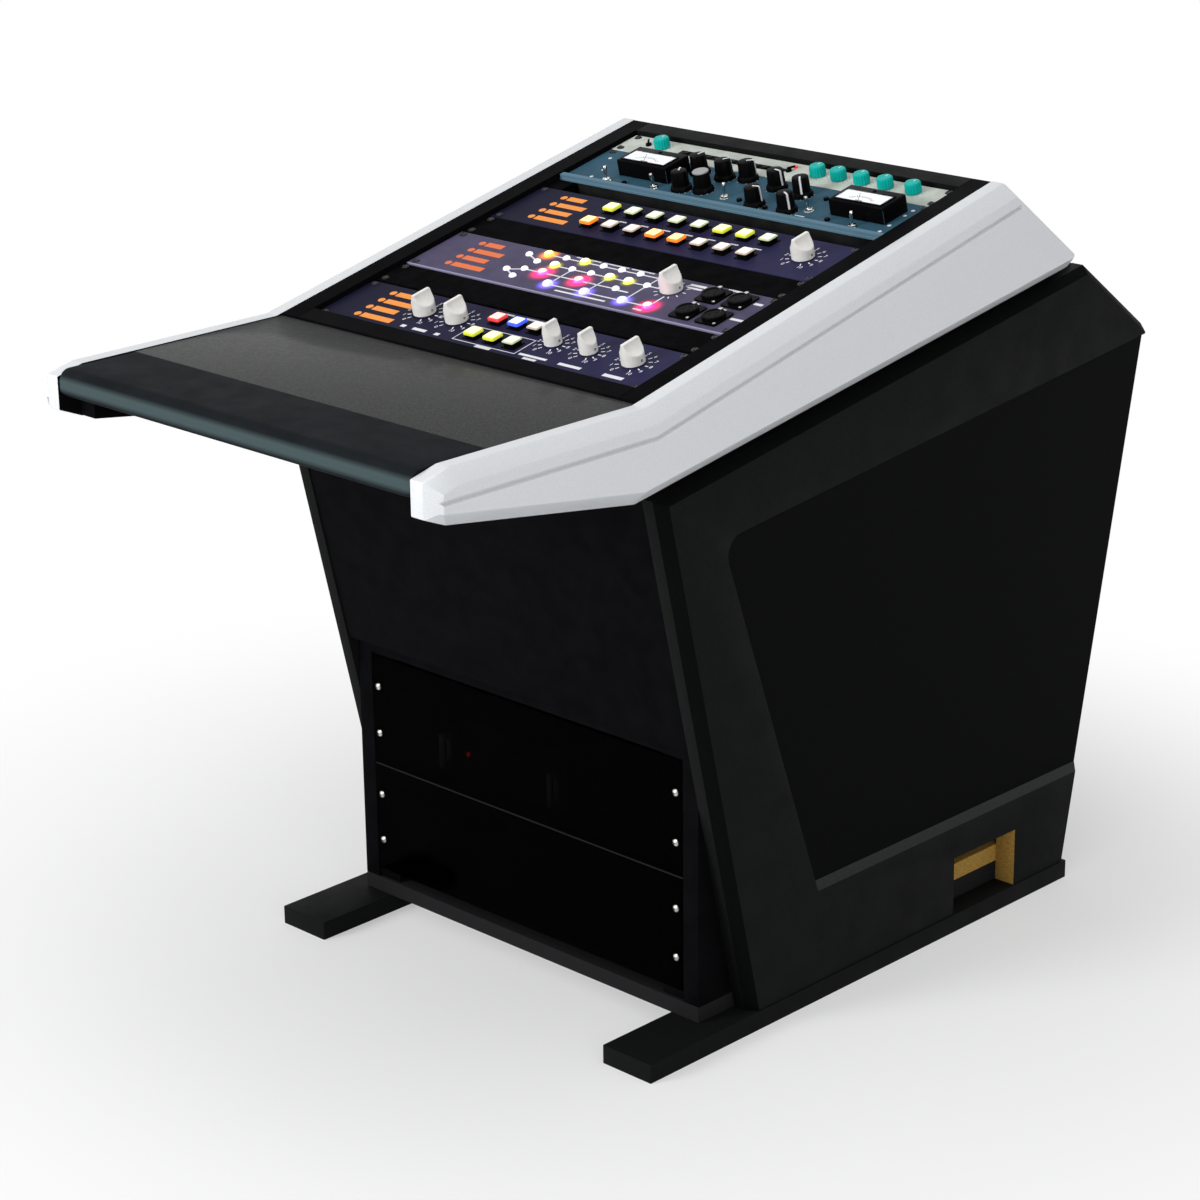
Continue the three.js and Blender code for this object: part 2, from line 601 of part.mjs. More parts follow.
function makeRearSlopePanel() {
  const outer = rearSlopeLine(FLUSH_SETBACK);
  const inner = rearSlopeLine(FLUSH_SETBACK + BOARD_THICKNESS);
  const edge = rearEdgeLine(FLUSH_SETBACK);
  const capFront = rackEnd + GAP;
  const capLine = [onSlope(capFront, -REAR_CAP_DEPTH), onSlope(capFront + REAR_CAP_DEPTH, -REAR_CAP_DEPTH)];
  const topLine = [onSlope(0, -FLUSH_SETBACK), onSlope(RACK_START, -FLUSH_SETBACK)];
  const narrow = [
    capLine[0], meet(...capLine, ...inner), meet(...inner, ...edge), meet(...outer, ...edge),
    meet(...outer, ...topLine), onSlope(capFront, -FLUSH_SETBACK),
  ];
  const wideFront = [point(cheekRearY + OVERRUN, 0), point(cheekRearY + OVERRUN, ARM_HEIGHT)];
  const wide = [meet(...inner, ...wideFront), narrow[2], narrow[3], meet(...outer, ...wideFront)];
  place('rear_slope_panel', join(
    board(narrow, -betweenLiners, betweenLiners),
    board(wide, -boardHalf, boardHalf),
  ), black);
}

function makeRearPanel() {
  const under = rearSlopeLine(FLUSH_SETBACK + BOARD_THICKNESS + GAP);
  const outer = rearEdgeLine(FLUSH_SETBACK);
  const inner = rearEdgeLine(FLUSH_SETBACK + BOARD_THICKNESS);
  const floorLine = [point(0, floorZ), point(DESK_DEPTH, floorZ)];
  place('rear_panel', board([
    meet(...inner, ...floorLine), meet(...outer, ...floorLine), meet(...outer, ...under), meet(...inner, ...under),
  ], -boardHalf, boardHalf), black);
}

// Work surface: a stepped board whose front step carries the pad

function makeWorkSurface() {
  const half = cheekInner - GAP;
  place('work_surface', board([
    point(SUBTOP_FRONT_Y, subtopLowZ), point(surfaceRearY, subtopLowZ), point(surfaceRearY, surfaceTopZ),
    point(PAD_DEPTH + GAP, surfaceTopZ), point(PAD_DEPTH + GAP, subtopTopZ), point(SUBTOP_FRONT_Y, subtopTopZ),
  ], -half, half), laminate);
}

// Armrest pad: foam under a stretched cover, with a round nose that hooks over the board's front

function padOutline(draw) {
  const top = surfaceTopZ + PAD_PROUD - draw;
  const low = surfaceTopZ - PAD_NOSE_HEIGHT + draw;
  const front = PAD_NOSE_SETBACK + draw;
  const seatZ = subtopTopZ + GAP;
  const hookY = SUBTOP_FRONT_Y - GAP;
  const noseTop = roundedCorner(point(PAD_DEPTH, top), point(front, top), point(front, low), PAD_NOSE_RADIUS, 7);
  const noseLow = roundedCorner(point(front, top), point(front, low), point(hookY, low), PAD_UNDER_RADIUS, 4);
  const rearTop = roundedCorner(point(PAD_DEPTH, seatZ), point(PAD_DEPTH, top), point(front, top), PAD_REAR_RADIUS, 2);
  return [point(hookY, low), point(hookY, seatZ), point(PAD_DEPTH, seatZ), ...rearTop, ...noseTop, ...noseLow];
}

function makeArmrestPad() {
  const half = cheekInner - 2 * GAP;
  const drawShares = [1, 0.38, 0.1, 0];
  const stepShares = [0, 0.18, 0.5, 1];
  const ends = drawShares.map((share, i) => ({ x: half - PAD_END_LENGTH * stepShares[i], outline: padOutline(PAD_END_DRAW * share) }));
  const sections = [...ends.map(({ x, outline }) => ({ x: -x, outline })), ...ends.reverse()];
  place('armrest_pad', loftAcross(sections), padVinyl);
}

// Lower rack bay: carcass with steel rails, two smoked panels and the power supply on the shelf

function makeLowerRack() {
  const rearY = lowerFrontY + CARCASS_DEPTH;
  const lowZ = baseTopZ + GAP;
  const innerX = boardHalf - CARCASS_SIDE;
  const railFrontY = lowerFrontY + PANEL_THICKNESS + GAP;
  const shell = block(-boardHalf, boardHalf, lowerFrontY, rearY, lowZ, carcassTopZ);
  const hollow = block(-innerX, innerX, lowerFrontY - OVERRUN, rearY + OVERRUN, lowZ - OVERRUN, carcassCeilingZ);
  const rail = block(innerX - RAIL_WIDTH, innerX + CARCASS_SIDE / 2, railFrontY, railFrontY + RAIL_THICKNESS,
    lowZ, carcassCeilingZ + CARCASS_TOP / 2);
  const shelf = block(-innerX - CARCASS_SIDE / 2, innerX + CARCASS_SIDE / 2, lowerFrontY + SHELF_SETBACK, rearY,
    shelfTopZ - SHELF_THICKNESS, shelfTopZ);
  place('lower_rack_carcass', join(cut(shell, hollow), rail, mirrored(rail), shelf), black);

  for (const [name, z] of [['smoked_panel_lower', lowerBayLowZ], ['smoked_panel_upper', seamZ]]) {
    const panel = rackPanel(LOWER_PANEL_UNITS).rotateX(Math.PI / 2).translate(0, lowerFrontY, z);
    place(name, panel, smoked);
  }

  const frontY = lowerFrontY + SUPPLY_SETBACK;
  const supplyLowZ = shelfTopZ + GAP;
  const lid = [
    point(frontY, supplyLowZ), point(frontY + SUPPLY_DEPTH, supplyLowZ),
    point(frontY + SUPPLY_DEPTH, supplyLowZ + SUPPLY_HEIGHT - SUPPLY_BEVEL),
    point(frontY + SUPPLY_DEPTH - SUPPLY_BEVEL, supplyLowZ + SUPPLY_HEIGHT),
    point(frontY + SUPPLY_BEVEL, supplyLowZ + SUPPLY_HEIGHT),
    point(frontY, supplyLowZ + SUPPLY_HEIGHT - SUPPLY_BEVEL),
  ];
  place('power_supply', board(lid, SUPPLY_X - SUPPLY_WIDTH / 2, SUPPLY_X + SUPPLY_WIDTH / 2), steel);
}

// Rack gear. A panel's own frame has x across, y up the panel from its lower edge and z out of its face

function rackPanel(units) {
  const height = units * RACK_UNIT_HEIGHT - PANEL_TRIM_HEIGHT;
  const b = PANEL_EDGE_BEVEL;
  const outline = new THREE.Shape();
  outline.moveTo(b - halfPanel, b);
  outline.lineTo(halfPanel - b, b);
  outline.lineTo(halfPanel - b, height - b);
  outline.lineTo(b - halfPanel, height - b);
  outline.closePath();
  const plate = new THREE.ExtrudeGeometry(outline, {
    depth: PANEL_THICKNESS - b, bevelEnabled: true, bevelThickness: b, bevelSize: b, bevelOffset: 0, bevelSegments: 1,
  });
  plate.translate(0, 0, -PANEL_THICKNESS);
  const rear = block(-PANEL_WIDTH, PANEL_WIDTH, -OVERRUN, height + OVERRUN, -PANEL_THICKNESS - OVERRUN, -PANEL_THICKNESS);
  const inset = units === LOWER_PANEL_UNITS ? (height - TALL_MOUNT_SPACING) / 2 : MOUNT_EDGE_INSET;
  const rows = [inset, height - inset];
  const slots = rows.flatMap((y) => [-1, 1].map((side) => earSlot().translate(side * (halfPanel - MOUNT_END_INSET), y, 0)));
  return cut(plate, rear, ...slots);
}

function earSlot() {
  const r = SLOT_WIDTH / 2;
  const reach = SLOT_LENGTH / 2 - r;
  const outline = new THREE.Shape();
  outline.absarc(reach, 0, r, -Math.PI / 2, Math.PI / 2);
  outline.absarc(-reach, 0, r, Math.PI / 2, (3 * Math.PI) / 2);
  const depth = PANEL_THICKNESS + 2 * OVERRUN;
  return new THREE.ExtrudeGeometry(outline, { depth, bevelEnabled: false, curveSegments: 5 }).translate(0, 0, -depth / 2);
}

const disc = (diameter, low, high, sides = CIRCLE_SIDES, topDiameter = diameter) =>
  new THREE.CylinderGeometry(topDiameter / 2, diameter / 2, high - low, sides)
    .rotateX(Math.PI / 2).translate(0, 0, (low + high) / 2);

function chassis(units, depth) {
  const height = units * RACK_UNIT_HEIGHT - PANEL_TRIM_HEIGHT;
  return block(EAR_WIDTH - halfPanel, halfPanel - EAR_WIDTH, CHASSIS_INSET, height - CHASSIS_INSET, -depth, -PANEL_THICKNESS / 2);
}

const shaft = (height) => disc(SHAFT_DIAMETER, -PANEL_THICKNESS / 2, height, SHAFT_SIDES);

const buttonDepth = PANEL_THICKNESS + GAP + BUTTON_FLANGE_THICKNESS + BUTTON_FOOT;

// The square hole in the panel and the wider well behind it, in which the button's flange slides
function buttonWell() {
  const hole = BUTTON_SIZE / 2 + GAP;
  const well = hole + BUTTON_FLANGE + GAP;
  return join(
    block(-hole, hole, -hole, hole, -PANEL_THICKNESS - GAP, OVERRUN),
    block(-well, well, -well, well, -buttonDepth - BUTTON_TRAVEL - GAP, -PANEL_THICKNESS),
  );
}

function buttonCap() {
  const half = BUTTON_SIZE / 2;
  const flange = half + BUTTON_FLANGE;
  const flangeTop = -PANEL_THICKNESS - GAP;
  const b = BUTTON_TOP_BEVEL;
  const squareRing = (size, z) => [[-1, -1], [1, -1], [1, 1], [-1, 1]].map(([x, y]) => new THREE.Vector3(x * size, y * size, z));
  const stem = loft([
    squareRing(half, -buttonDepth), squareRing(half, BUTTON_RISE - b), squareRing(half - b, BUTTON_RISE),
  ], squareRing(half, 0).map((p) => point(p.x, p.y)));
  return join(stem, block(-flange, flange, -flange, flange, flangeTop - BUTTON_FLANGE_THICKNESS, flangeTop));
}

// A round collar that turns into a tapered finger ridge, with a blind bore for its shaft
function ridgeKnob(diameter) {
  const r = diameter / 2;
  const ridge = KNOB_RIDGE_WIDTH / 2;
  const wedge = new THREE.Shape([
    point(-r - OVERRUN, 0), point(r + OVERRUN, 0), point(r + OVERRUN, KNOB_COLLAR_HEIGHT), point(r, KNOB_COLLAR_HEIGHT),
    point(ridge, KNOB_HEIGHT), point(-ridge, KNOB_HEIGHT), point(-r, KNOB_COLLAR_HEIGHT), point(-r - OVERRUN, KNOB_COLLAR_HEIGHT),
  ]);
  const prism = new THREE.ExtrudeGeometry(wedge, { depth: diameter + OVERRUN, bevelEnabled: false })
    .translate(0, 0, -(diameter + OVERRUN) / 2).rotateX(Math.PI / 2);
  const skirt = disc(diameter - 2 * KNOB_BASE_BEVEL, 0, KNOB_BASE_BEVEL, CIRCLE_SIDES, diameter);
  const body = join(skirt, disc(diameter, KNOB_BASE_BEVEL, KNOB_HEIGHT));
  return cut(common(body, prism), bore(SHAFT_HEIGHT)).translate(0, 0, KNOB_LIFT);
}

const bore = (shaftHeight) => disc(SHAFT_DIAMETER + 2 * GAP, -OVERRUN, shaftHeight - KNOB_LIFT + BORE_ROOM, SHAFT_SIDES);

// A low round cap with shallow flutes for grip
function flutedCap() {
  const steps = CAP_FLUTES * CAP_STEPS_PER_FLUTE;
  const radiusAt = (angle) => CAP_DIAMETER / 2 - (CAP_FLUTE_DEPTH / 2) * (1 + Math.cos(CAP_FLUTES * angle));
  const ring = (shrink, z) => Array.from({ length: steps }, (_, i) => {
    const angle = (2 * Math.PI * i) / steps;
    const r = radiusAt(angle) - shrink;
    return new THREE.Vector3(r * Math.cos(angle), r * Math.sin(angle), z);
  });
  const body = loft([ring(0, 0), ring(0, CAP_HEIGHT - CAP_BEVEL), ring(CAP_BEVEL, CAP_HEIGHT)],
    ring(0, 0).map((p) => point(p.x, p.y)));
  return cut(body, bore(CAP_SHAFT_HEIGHT)).translate(0, 0, KNOB_LIFT);
}

// Black pointer knobs, bat toggles and meter housings stay part of the unit that carries them

const roundControl = () => disc(JACK_DIAMETER, -PANEL_THICKNESS / 2, JACK_HEIGHT, POINTER_SIDES);

const pointerKnob = () => join(
  disc(POINTER_SKIRT_DIAMETER, -PANEL_THICKNESS / 2, POINTER_SKIRT_HEIGHT, POINTER_SIDES, POINTER_BODY_DIAMETER + 2 * KNOB_BASE_BEVEL),
  disc(POINTER_BODY_DIAMETER, POINTER_SKIRT_HEIGHT - KNOB_BASE_BEVEL, POINTER_HEIGHT, POINTER_SIDES, POINTER_TOP_DIAMETER),
);

const batToggle = () => join(
  disc(TOGGLE_NUT_DIAMETER, -PANEL_THICKNESS / 2, TOGGLE_NUT_HEIGHT, TOGGLE_SIDES),
  disc(TOGGLE_ROOT_DIAMETER, TOGGLE_NUT_HEIGHT / 2, TOGGLE_HEIGHT, TOGGLE_SIDES, TOGGLE_TIP_DIAMETER),
);

function meterHousing() {
  const ring = (inset, z) => [[-1, -1], [1, -1], [1, 1], [-1, 1]]
    .map(([x, y]) => new THREE.Vector3(x * (METER_WIDTH / 2 - inset), y * (METER_DEPTH / 2 - inset), z));
  const rings = [ring(0, -PANEL_THICKNESS / 2), ring(0, METER_HEIGHT - METER_BEVEL), ring(METER_BEVEL, METER_HEIGHT)];
  const shell = loft(rings, ring(0, 0).map((p) => point(p.x, p.y)));
  const w = METER_WIDTH / 2 - METER_SIDE_BORDER;
  return cut(shell, block(-w, w, METER_FRONT_BORDER - METER_DEPTH / 2, METER_DEPTH / 2 - METER_REAR_BORDER,
    METER_HEIGHT - METER_WINDOW_DEPTH, METER_HEIGHT + OVERRUN));
}

// Where the controls sit on each unit: shares of half the panel's width, and of its height
const knobShares = {
  unit_1: { y: 0.552, x: [-0.483, -0.276, 0.324, 0.537, 0.798], large: [true, true, false, false, true] },
  unit_2: { y: 0.683, x: [0.448], large: [true] },
  unit_3: { y: 0.528, x: [0.787], large: [true] },
};
const capShares = { y: 0.557, x: [-0.751, 0.237, 0.363, 0.501, 0.641, 0.804] };
const buttonShares = {
  unit_1: {
    x: [-0.081, 0.04, 0.16],
    rows: {
      rear: { y: 0.738, colours: ['red', 'blue', 'lamp'] },
      front: { y: 0.318, colours: ['yellow', 'yellow', 'lamp'] },
    },
  },
  unit_3: {
    x: [-0.442, -0.304, -0.166, -0.028, 0.11, 0.248, 0.386, 0.524],
    rows: {
      rear: { y: 0.72, colours: ['yellow', 'lamp', 'lamp', 'lamp', 'lamp', 'yellow', 'yellow', 'lamp'] },
      front: { y: 0.288, colours: ['orange', 'lamp', 'lamp', 'orange', 'orange', 'lamp', 'lamp', 'lamp'] },
    },
  },
};
const fixedShares = {
  unit_2: { jacks: [[0.684, 0.258], [0.684, 0.712], [0.842, 0.258], [0.842, 0.712]] },
  unit_4: {
    meters: [[-0.56, 0.565], [0.757, 0.565]],
    pointers: [[-0.298, 0.29], [-0.182, 0.36], [-0.345, 0.8], [-0.182, 0.78], [-0.06, 0.86], [0.173, 0.244], [0.146, 0.773],
      [0.369, 0.246], [0.32, 0.707]],
    toggles: [[-0.74, 0.146], [-0.444, 0.2], [-0.021, 0.276], [0.469, 0.347], [0.78, 0.159]],
  },
};

function makeRack() {
  for (const { name, units, s, depth } of rackStack) {
    const height = units * RACK_UNIT_HEIGHT - PANEL_TRIM_HEIGHT;
    const bay = new THREE.Group();
    bay.position.set(0, s, -RACK_RECESS);
    rack.add(bay);
    const put = (mesh, xShare, yShare) => mesh.position.set(xShare * halfPanel, yShare * height, 0);
    const at = (geometry, xShare, yShare) => geometry.translate(xShare * halfPanel, yShare * height, 0);
    const knobs = knobShares[name];
    const caps = name === 'unit_5' ? capShares : undefined;
    const buttons = buttonShares[name];
    const fixed = fixedShares[name] ?? {};
    const joined = [rackPanel(units)];
    const wells = [];
    if (depth) {
      joined.push(chassis(units, depth));
    }
    knobs?.x.forEach((x, i) => {
      joined.push(at(shaft(SHAFT_HEIGHT), x, knobs.y));
      const shape = ridgeKnob(knobs.large[i] ? LARGE_KNOB_DIAMETER : SMALL_KNOB_DIAMETER);
      put(place(`${name}_knob_${i + 1}`, shape, whitePlastic, bay), x, knobs.y);
    });
    caps?.x.forEach((x, i) => {
      joined.push(at(shaft(CAP_SHAFT_HEIGHT), x, caps.y));
      put(place(`${name}_knob_${i + 1}`, flutedCap(), teal, bay), x, caps.y);
    });
    for (const [row, { y, colours }] of Object.entries(buttons?.rows ?? {})) {
      buttons.x.forEach((x, i) => {
        wells.push(at(buttonWell(), x, y));
        put(place(`${name}_button_${row}_${i + 1}`, buttonCap(), buttonColours[colours[i]], bay), x, y);
      });
    }
    const fittings = [
      [fixed.jacks, roundControl], [fixed.meters, meterHousing], [fixed.pointers, pointerKnob], [fixed.toggles, batToggle],
    ];
    for (const [places, make] of fittings) {
      places?.forEach(([x, y]) => joined.push(at(make(), x, y)));
    }
    if (fixed.meters) {
      joined.push(block(PANEL_EDGE_BEVEL - halfPanel, halfPanel - PANEL_EDGE_BEVEL, PANEL_EDGE_BEVEL, LIP_DEPTH,
        -PANEL_THICKNESS / 2, LIP_HEIGHT));
    }
    place(name, wells.length ? cut(join(...joined), ...wells) : join(...joined), panelColours[name], bay);
  }
}

makeCheeks();
makeSidePanels();
makeBase();
makeModestyPanel();
makeRackSides();
makeRearSlopePanel();
makeRearPanel();
makeWorkSurface();
makeArmrestPad();
makeLowerRack();
makeRack();

export default desk;
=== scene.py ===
"""Studio desk with a sloped 19 inch rack bay: lacquered boards, a padded armrest, rack gear and a plain studio."""

import math
from functools import partial

import bmesh
import bpy
from bpy.props import FloatProperty, FloatVectorProperty, IntProperty, PointerProperty
from mathutils import Matrix, Vector


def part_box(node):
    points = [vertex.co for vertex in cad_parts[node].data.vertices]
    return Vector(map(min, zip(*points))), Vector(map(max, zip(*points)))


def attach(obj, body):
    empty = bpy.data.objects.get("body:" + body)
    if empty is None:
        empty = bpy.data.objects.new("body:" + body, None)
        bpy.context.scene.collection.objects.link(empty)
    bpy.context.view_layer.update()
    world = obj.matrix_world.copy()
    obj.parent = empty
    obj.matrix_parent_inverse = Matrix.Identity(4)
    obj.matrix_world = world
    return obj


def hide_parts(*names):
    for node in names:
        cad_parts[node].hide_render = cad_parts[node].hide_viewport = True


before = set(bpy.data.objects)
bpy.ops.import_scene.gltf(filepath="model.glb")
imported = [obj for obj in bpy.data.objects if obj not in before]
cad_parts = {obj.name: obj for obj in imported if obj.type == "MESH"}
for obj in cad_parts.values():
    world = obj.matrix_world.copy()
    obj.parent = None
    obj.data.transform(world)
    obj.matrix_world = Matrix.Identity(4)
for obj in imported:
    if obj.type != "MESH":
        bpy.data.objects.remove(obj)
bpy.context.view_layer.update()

bl_info = {
    "name": "Studio Rack Desk",
    "version": (1, 0, 0),
    "blender": (4, 5, 0),
    "location": "3D View > Sidebar > Studio Desk",
    "description": "Dresses a studio rack desk: boards, armrest, rack gear, lamps and studio",
    "category": "Object",
}

FRAME_BODY = "desk_frame"
MM = 0.001

# The sloped rack bay: a unit's own frame has x across, y up the panel from its front edge and z out of its face
RACK_ORIGIN = Vector((0, -271, 730)) * MM
RACK_SLOPE = math.radians(13.15)
RACK_UP = Vector((0, math.cos(RACK_SLOPE), math.sin(RACK_SLOPE)))
RACK_OUT = Vector((0, -math.sin(RACK_SLOPE), math.cos(RACK_SLOPE)))
PANEL_RECESS = 6.2
PANEL_THICKNESS = 3
HALF_PANEL = 241.3
SLOT_X = 232.55
SLOT_INSET = 6.35
ONE_UNIT, TWO_UNITS = 43.65, 88.1
UNIT_START = {
    "unit_1": 33.4, "filler_1": 125.3, "unit_2": 172.75, "filler_2": 261.65,
    "unit_3": 306.1, "unit_4": 422.2, "unit_5": 511.1,
}
UNIT_HEIGHT = {unit: ONE_UNIT if unit in {"filler_1", "filler_2", "unit_5"} else TWO_UNITS for unit in UNIT_START}

# Places on the panels, as shares of half the panel's width and of its height
RIDGE_KNOB_SHARES = {
    "unit_1": [(-0.483, 0.552), (-0.276, 0.552), (0.324, 0.552), (0.537, 0.552), (0.798, 0.552)],
    "unit_2": [(0.448, 0.683)],
    "unit_3": [(0.787, 0.528)],
}
SMALL_KNOBS = {"unit_1_knob_3", "unit_1_knob_4"}
CAP_SHARES = [(x, 0.557) for x in (-0.751, 0.237, 0.363, 0.501, 0.641, 0.804)]
BUTTON_SHARES = {
    "unit_1": ([-0.081, 0.04, 0.16], {"rear": 0.738, "front": 0.318}),
    "unit_3": ([-0.442, -0.304, -0.166, -0.028, 0.11, 0.248, 0.386, 0.524], {"rear": 0.72, "front": 0.288}),
}
BUTTON_COLOURS = {
    ("unit_1", "rear"): ["red", "blue", "cream"],
    ("unit_1", "front"): ["yellow", "yellow", "pale"],
    ("unit_3", "rear"): ["yellow", "pale", "pale", "pale", "pale", "yellow", "yellow", "pale"],
    ("unit_3", "front"): ["orange", "cream", "cream", "orange", "orange", "cream", "cream", "cream"],
}
METER_SHARES = [(-0.56, 0.565), (0.757, 0.565)]
POINTER_SHARES = [
    (-0.298, 0.29), (-0.182, 0.36), (-0.345, 0.8), (-0.182, 0.78), (-0.06, 0.86), (0.173, 0.244),
    (0.146, 0.773), (0.369, 0.246), (0.32, 0.707),
]
TOGGLE_SHARES = [(-0.737, 0.14), (-0.444, 0.2), (-0.021, 0.276), (0.469, 0.347), (0.78, 0.159)]

# Places on the matrix unit in millimetres, the colour and reach of its lamps' light, and the lines between them
LAMPS = {
    "orange": [(-92, 78)],
    "yellow": [(-64, 58.5), (-36.5, 78), (19, 58.5), (47, 58.5)],
    "magenta": [(-64, 39), (-9, 39), (111, 19)],
    "blue": [(-37, 19), (18, 19), (74, 19)],
}
SPILL = {
    "orange": ((3.4, 0.9, 0.03), 19.0), "yellow": ((1.2, 1.15, 0.05), 13.0),
    "magenta": ((6.0, 0.05, 0.75), 22.0), "blue": ((0.75, 0.5, 4.4), 18.0),
}
PALE_LAMPS = [
    (-65, 78), (-37.5, 58.5), (-9, 58.5), (-8.5, 78), (19, 78), (46.5, 78), (46, 39), (74, 58.5),
    (-115, 70), (-112, 31), (-92, 59), (-92, 39), (-92, 20),
]
MATRIX_LINES = [
    ((-92, 78), (74, 78)), ((-64, 58.5), (94, 58.5)), ((-92, 39), (46, 39)), ((-37, 19), (111, 19)),
    ((-37, 19), (-37, 58.5)), ((18, 19), (18, 58.5)), ((74, 19), (74, 78)), ((111, 19), (111, 44)),
    ((-115, 70), (-92, 59)), ((-112, 31), (-92, 39)), ((-112, 31), (-92, 20)),
]
SOCKET_PLACES = [(163, 24.5), (200, 24.5), (163, 65.5), (200, 65.5)]

# Plain bars in the places of labels, each with its width, and the thin frame round a row of buttons
LABEL_BARS = {
    "unit_1": [
        ((-39, 14), (54, 14), 1.0), ((54, 14), (54, 47), 1.0), ((-39, 47), (54, 47), 1.0),
        ((-39, 14), (-39, 47), 1.0),
        ((-98, 15), (-83, 15), 5.0), ((-117, 15.5), (-115, 15.5), 5.0), ((-64.5, 15), (-62.5, 15), 5.0),
        ((1, 11), (19, 11), 4.4), ((61, 16.5), (97, 16.5), 3.8), ((72, 10.5), (87, 10.5), 3.8),
        ((119, 16), (146, 16), 4.6), ((183, 16), (205, 16), 5.4), ((6, 82.5), (31, 82.5), 3.4),
        ((-14, 82.5), (-26, 82.5), 2.6),
    ],
    "unit_2": [
        ((-17, 10.5), (55, 10.5), 2.8), ((-55, 85.2), (-20, 85.2), 1.8), ((-14, 85.2), (22, 85.2), 1.8),
        ((28, 85.2), (60, 85.2), 1.8), ((120, 79.5), (138, 79.5), 4.4), ((121, 73), (138, 73), 3.4),
        ((168, 85.2), (184, 85.2), 3.4), ((219, 69), (226, 69), 4.4), ((219, 31), (232, 31), 4.4),
        ((152, 45), (160, 45), 2.2), ((190, 45), (198, 45), 2.2), ((51, 37.5), (64, 37.5), 2.4),
        ((4, 39.5), (13, 39.5), 2.2), ((100, 9), (110, 9), 2.4),
    ],
    "unit_3": [
        ((x * HALF_PANEL - 4.5, 44.8), (x * HALF_PANEL + 4.5, 44.8), 2.2) for x in BUTTON_SHARES["unit_3"][0]
    ],
}
PRINT_SINK, PRINT_RISE = -0.1, 0.14

# Spans in metres that tell the boards' differently painted faces apart
PORT_Y, PORT_Z = (0.226, 0.342), (0.0225, 0.0925)
FIELD_X, LEDGE_X, GROOVE_X = (0.2855, 0.2865), (0.2865, 0.2915), (0.2970, 0.2996)
BATTEN_FRONT, BATTEN_FOOT = 0.225, 0.0455

# The camera was fitted to the corners of the rack panels, the cheeks and the runners
CAMERA_PLACE = Vector((2397.0, -2486.7, 1603.7)) * MM
CAMERA_YAW = math.radians(44.490)
CAMERA_PITCH = math.radians(-19.280)
CAMERA_ROLL = math.radians(-0.741)


def size_property(name, description, default, low, high, kind=FloatProperty, **settings):
    return kind(name=name, description=description, default=default, min=low, max=high, **settings)


def colour_property(name, description, default):
    """A linear colour with the same limits for every finish."""
    return FloatVectorProperty(
        name=name, description=description, subtype="COLOR", size=3, min=0, max=1, default=default)


class StudioDeskSizes(bpy.types.PropertyGroup):
    """Sizes that a user of the desk would change, in millimetres unless a unit says otherwise."""

    board_edge: size_property("Board edge", "Rounding of the boards' edges in mm", 1.0, 0.1, 3)
    cheek_edge: size_property("Cheek edge", "Rounding of the cheeks' edges in mm", 1.8, 0.1, 4)
    pad_crown: size_property("Pad crown", "Rise of the armrest's cover between its edges in mm", 0.9, 0, 4)
    pad_draw: size_property("Pad draw", "How far the cover draws in at the armrest's ends in mm", 1.2, 0, 6)
    knob_ridge: size_property("Knob ridge", "Thickness of a knob's finger ridge in mm", 4.5, 2, 8)
    knob_sides: size_property("Knob sides", "Faces round a knob", 48, 16, 96, IntProperty)
    lamp_diameter: size_property("Lamp diameter", "Diameter of the matrix lamps in mm", 12.0, 3, 12)
    tick_length: size_property("Tick length", "Length of the printed ticks round the knobs in mm", 3.0, 1, 5)
    number_height: size_property("Number height", "Height of the printed numbers in mm", 5.2, 2, 8)
    screw_head: size_property("Screw head", "Diameter of the rack screws' heads in mm", 8.6, 6, 12)
    lens: size_property("Lens", "Focal length of the camera", 97.8, 20, 300, unit="CAMERA")


class StudioDeskColours(bpy.types.PropertyGroup):
    """Colours of the desk's finishes."""

    silver: colour_property("Silver", "Silver lacquer of the cheeks", (0.70, 0.72, 0.745))
    black: colour_property("Black", "Textured black lacquer of the side panels", (0.0060, 0.0066, 0.0064))
    satin_black: colour_property("Satin black", "Satin black of the inner boards", (0.0032, 0.0032, 0.0038))
    vinyl: colour_property("Vinyl", "Cover of the armrest", (0.0110, 0.0130, 0.0150))
    laminate: colour_property("Laminate", "Work surface", (0.044, 0.045, 0.045))
    fibreboard: colour_property("Fibreboard", "Raw edges in the cable ports", (0.42, 0.25, 0.055))
    navy: colour_property("Navy", "Paint of the switching and button units", (0.008, 0.0075, 0.022))
    lilac: colour_property("Grey purple", "Paint of the matrix unit", (0.080, 0.070, 0.126))
    steel_blue: colour_property("Steel blue", "Paint of the meter unit", (0.036, 0.094, 0.138))
    ivory: colour_property("Ivory", "Paint of the pre-amplifier", (0.55, 0.59, 0.54))
    knob: colour_property("Knob", "Off-white plastic of the ridge knobs", (0.84, 0.83, 0.79))
    teal: colour_property("Teal", "Plastic of the round caps", (0.003, 0.44, 0.39))
    badge: colour_property("Badge", "Orange print of the matrix unit's badge", (0.80, 0.15, 0.02))
    amber: colour_property("Amber", "Amber print of the other two badges", (0.95, 0.30, 0.02))
    marks: colour_property("Marks", "White print on the panels", (0.80, 0.80, 0.84))


def sizes():
    return bpy.context.scene.studio_desk_sizes


def colour(choice):
    """Plain values as they are, or the user's colour of that name."""
    return tuple(getattr(bpy.context.scene.studio_desk_colours, choice)) if isinstance(choice, str) else choice


# Finishes

MIX_SHARE, MIX_FIRST, MIX_SECOND, MIX_RESULT = 0, 6, 7, 2


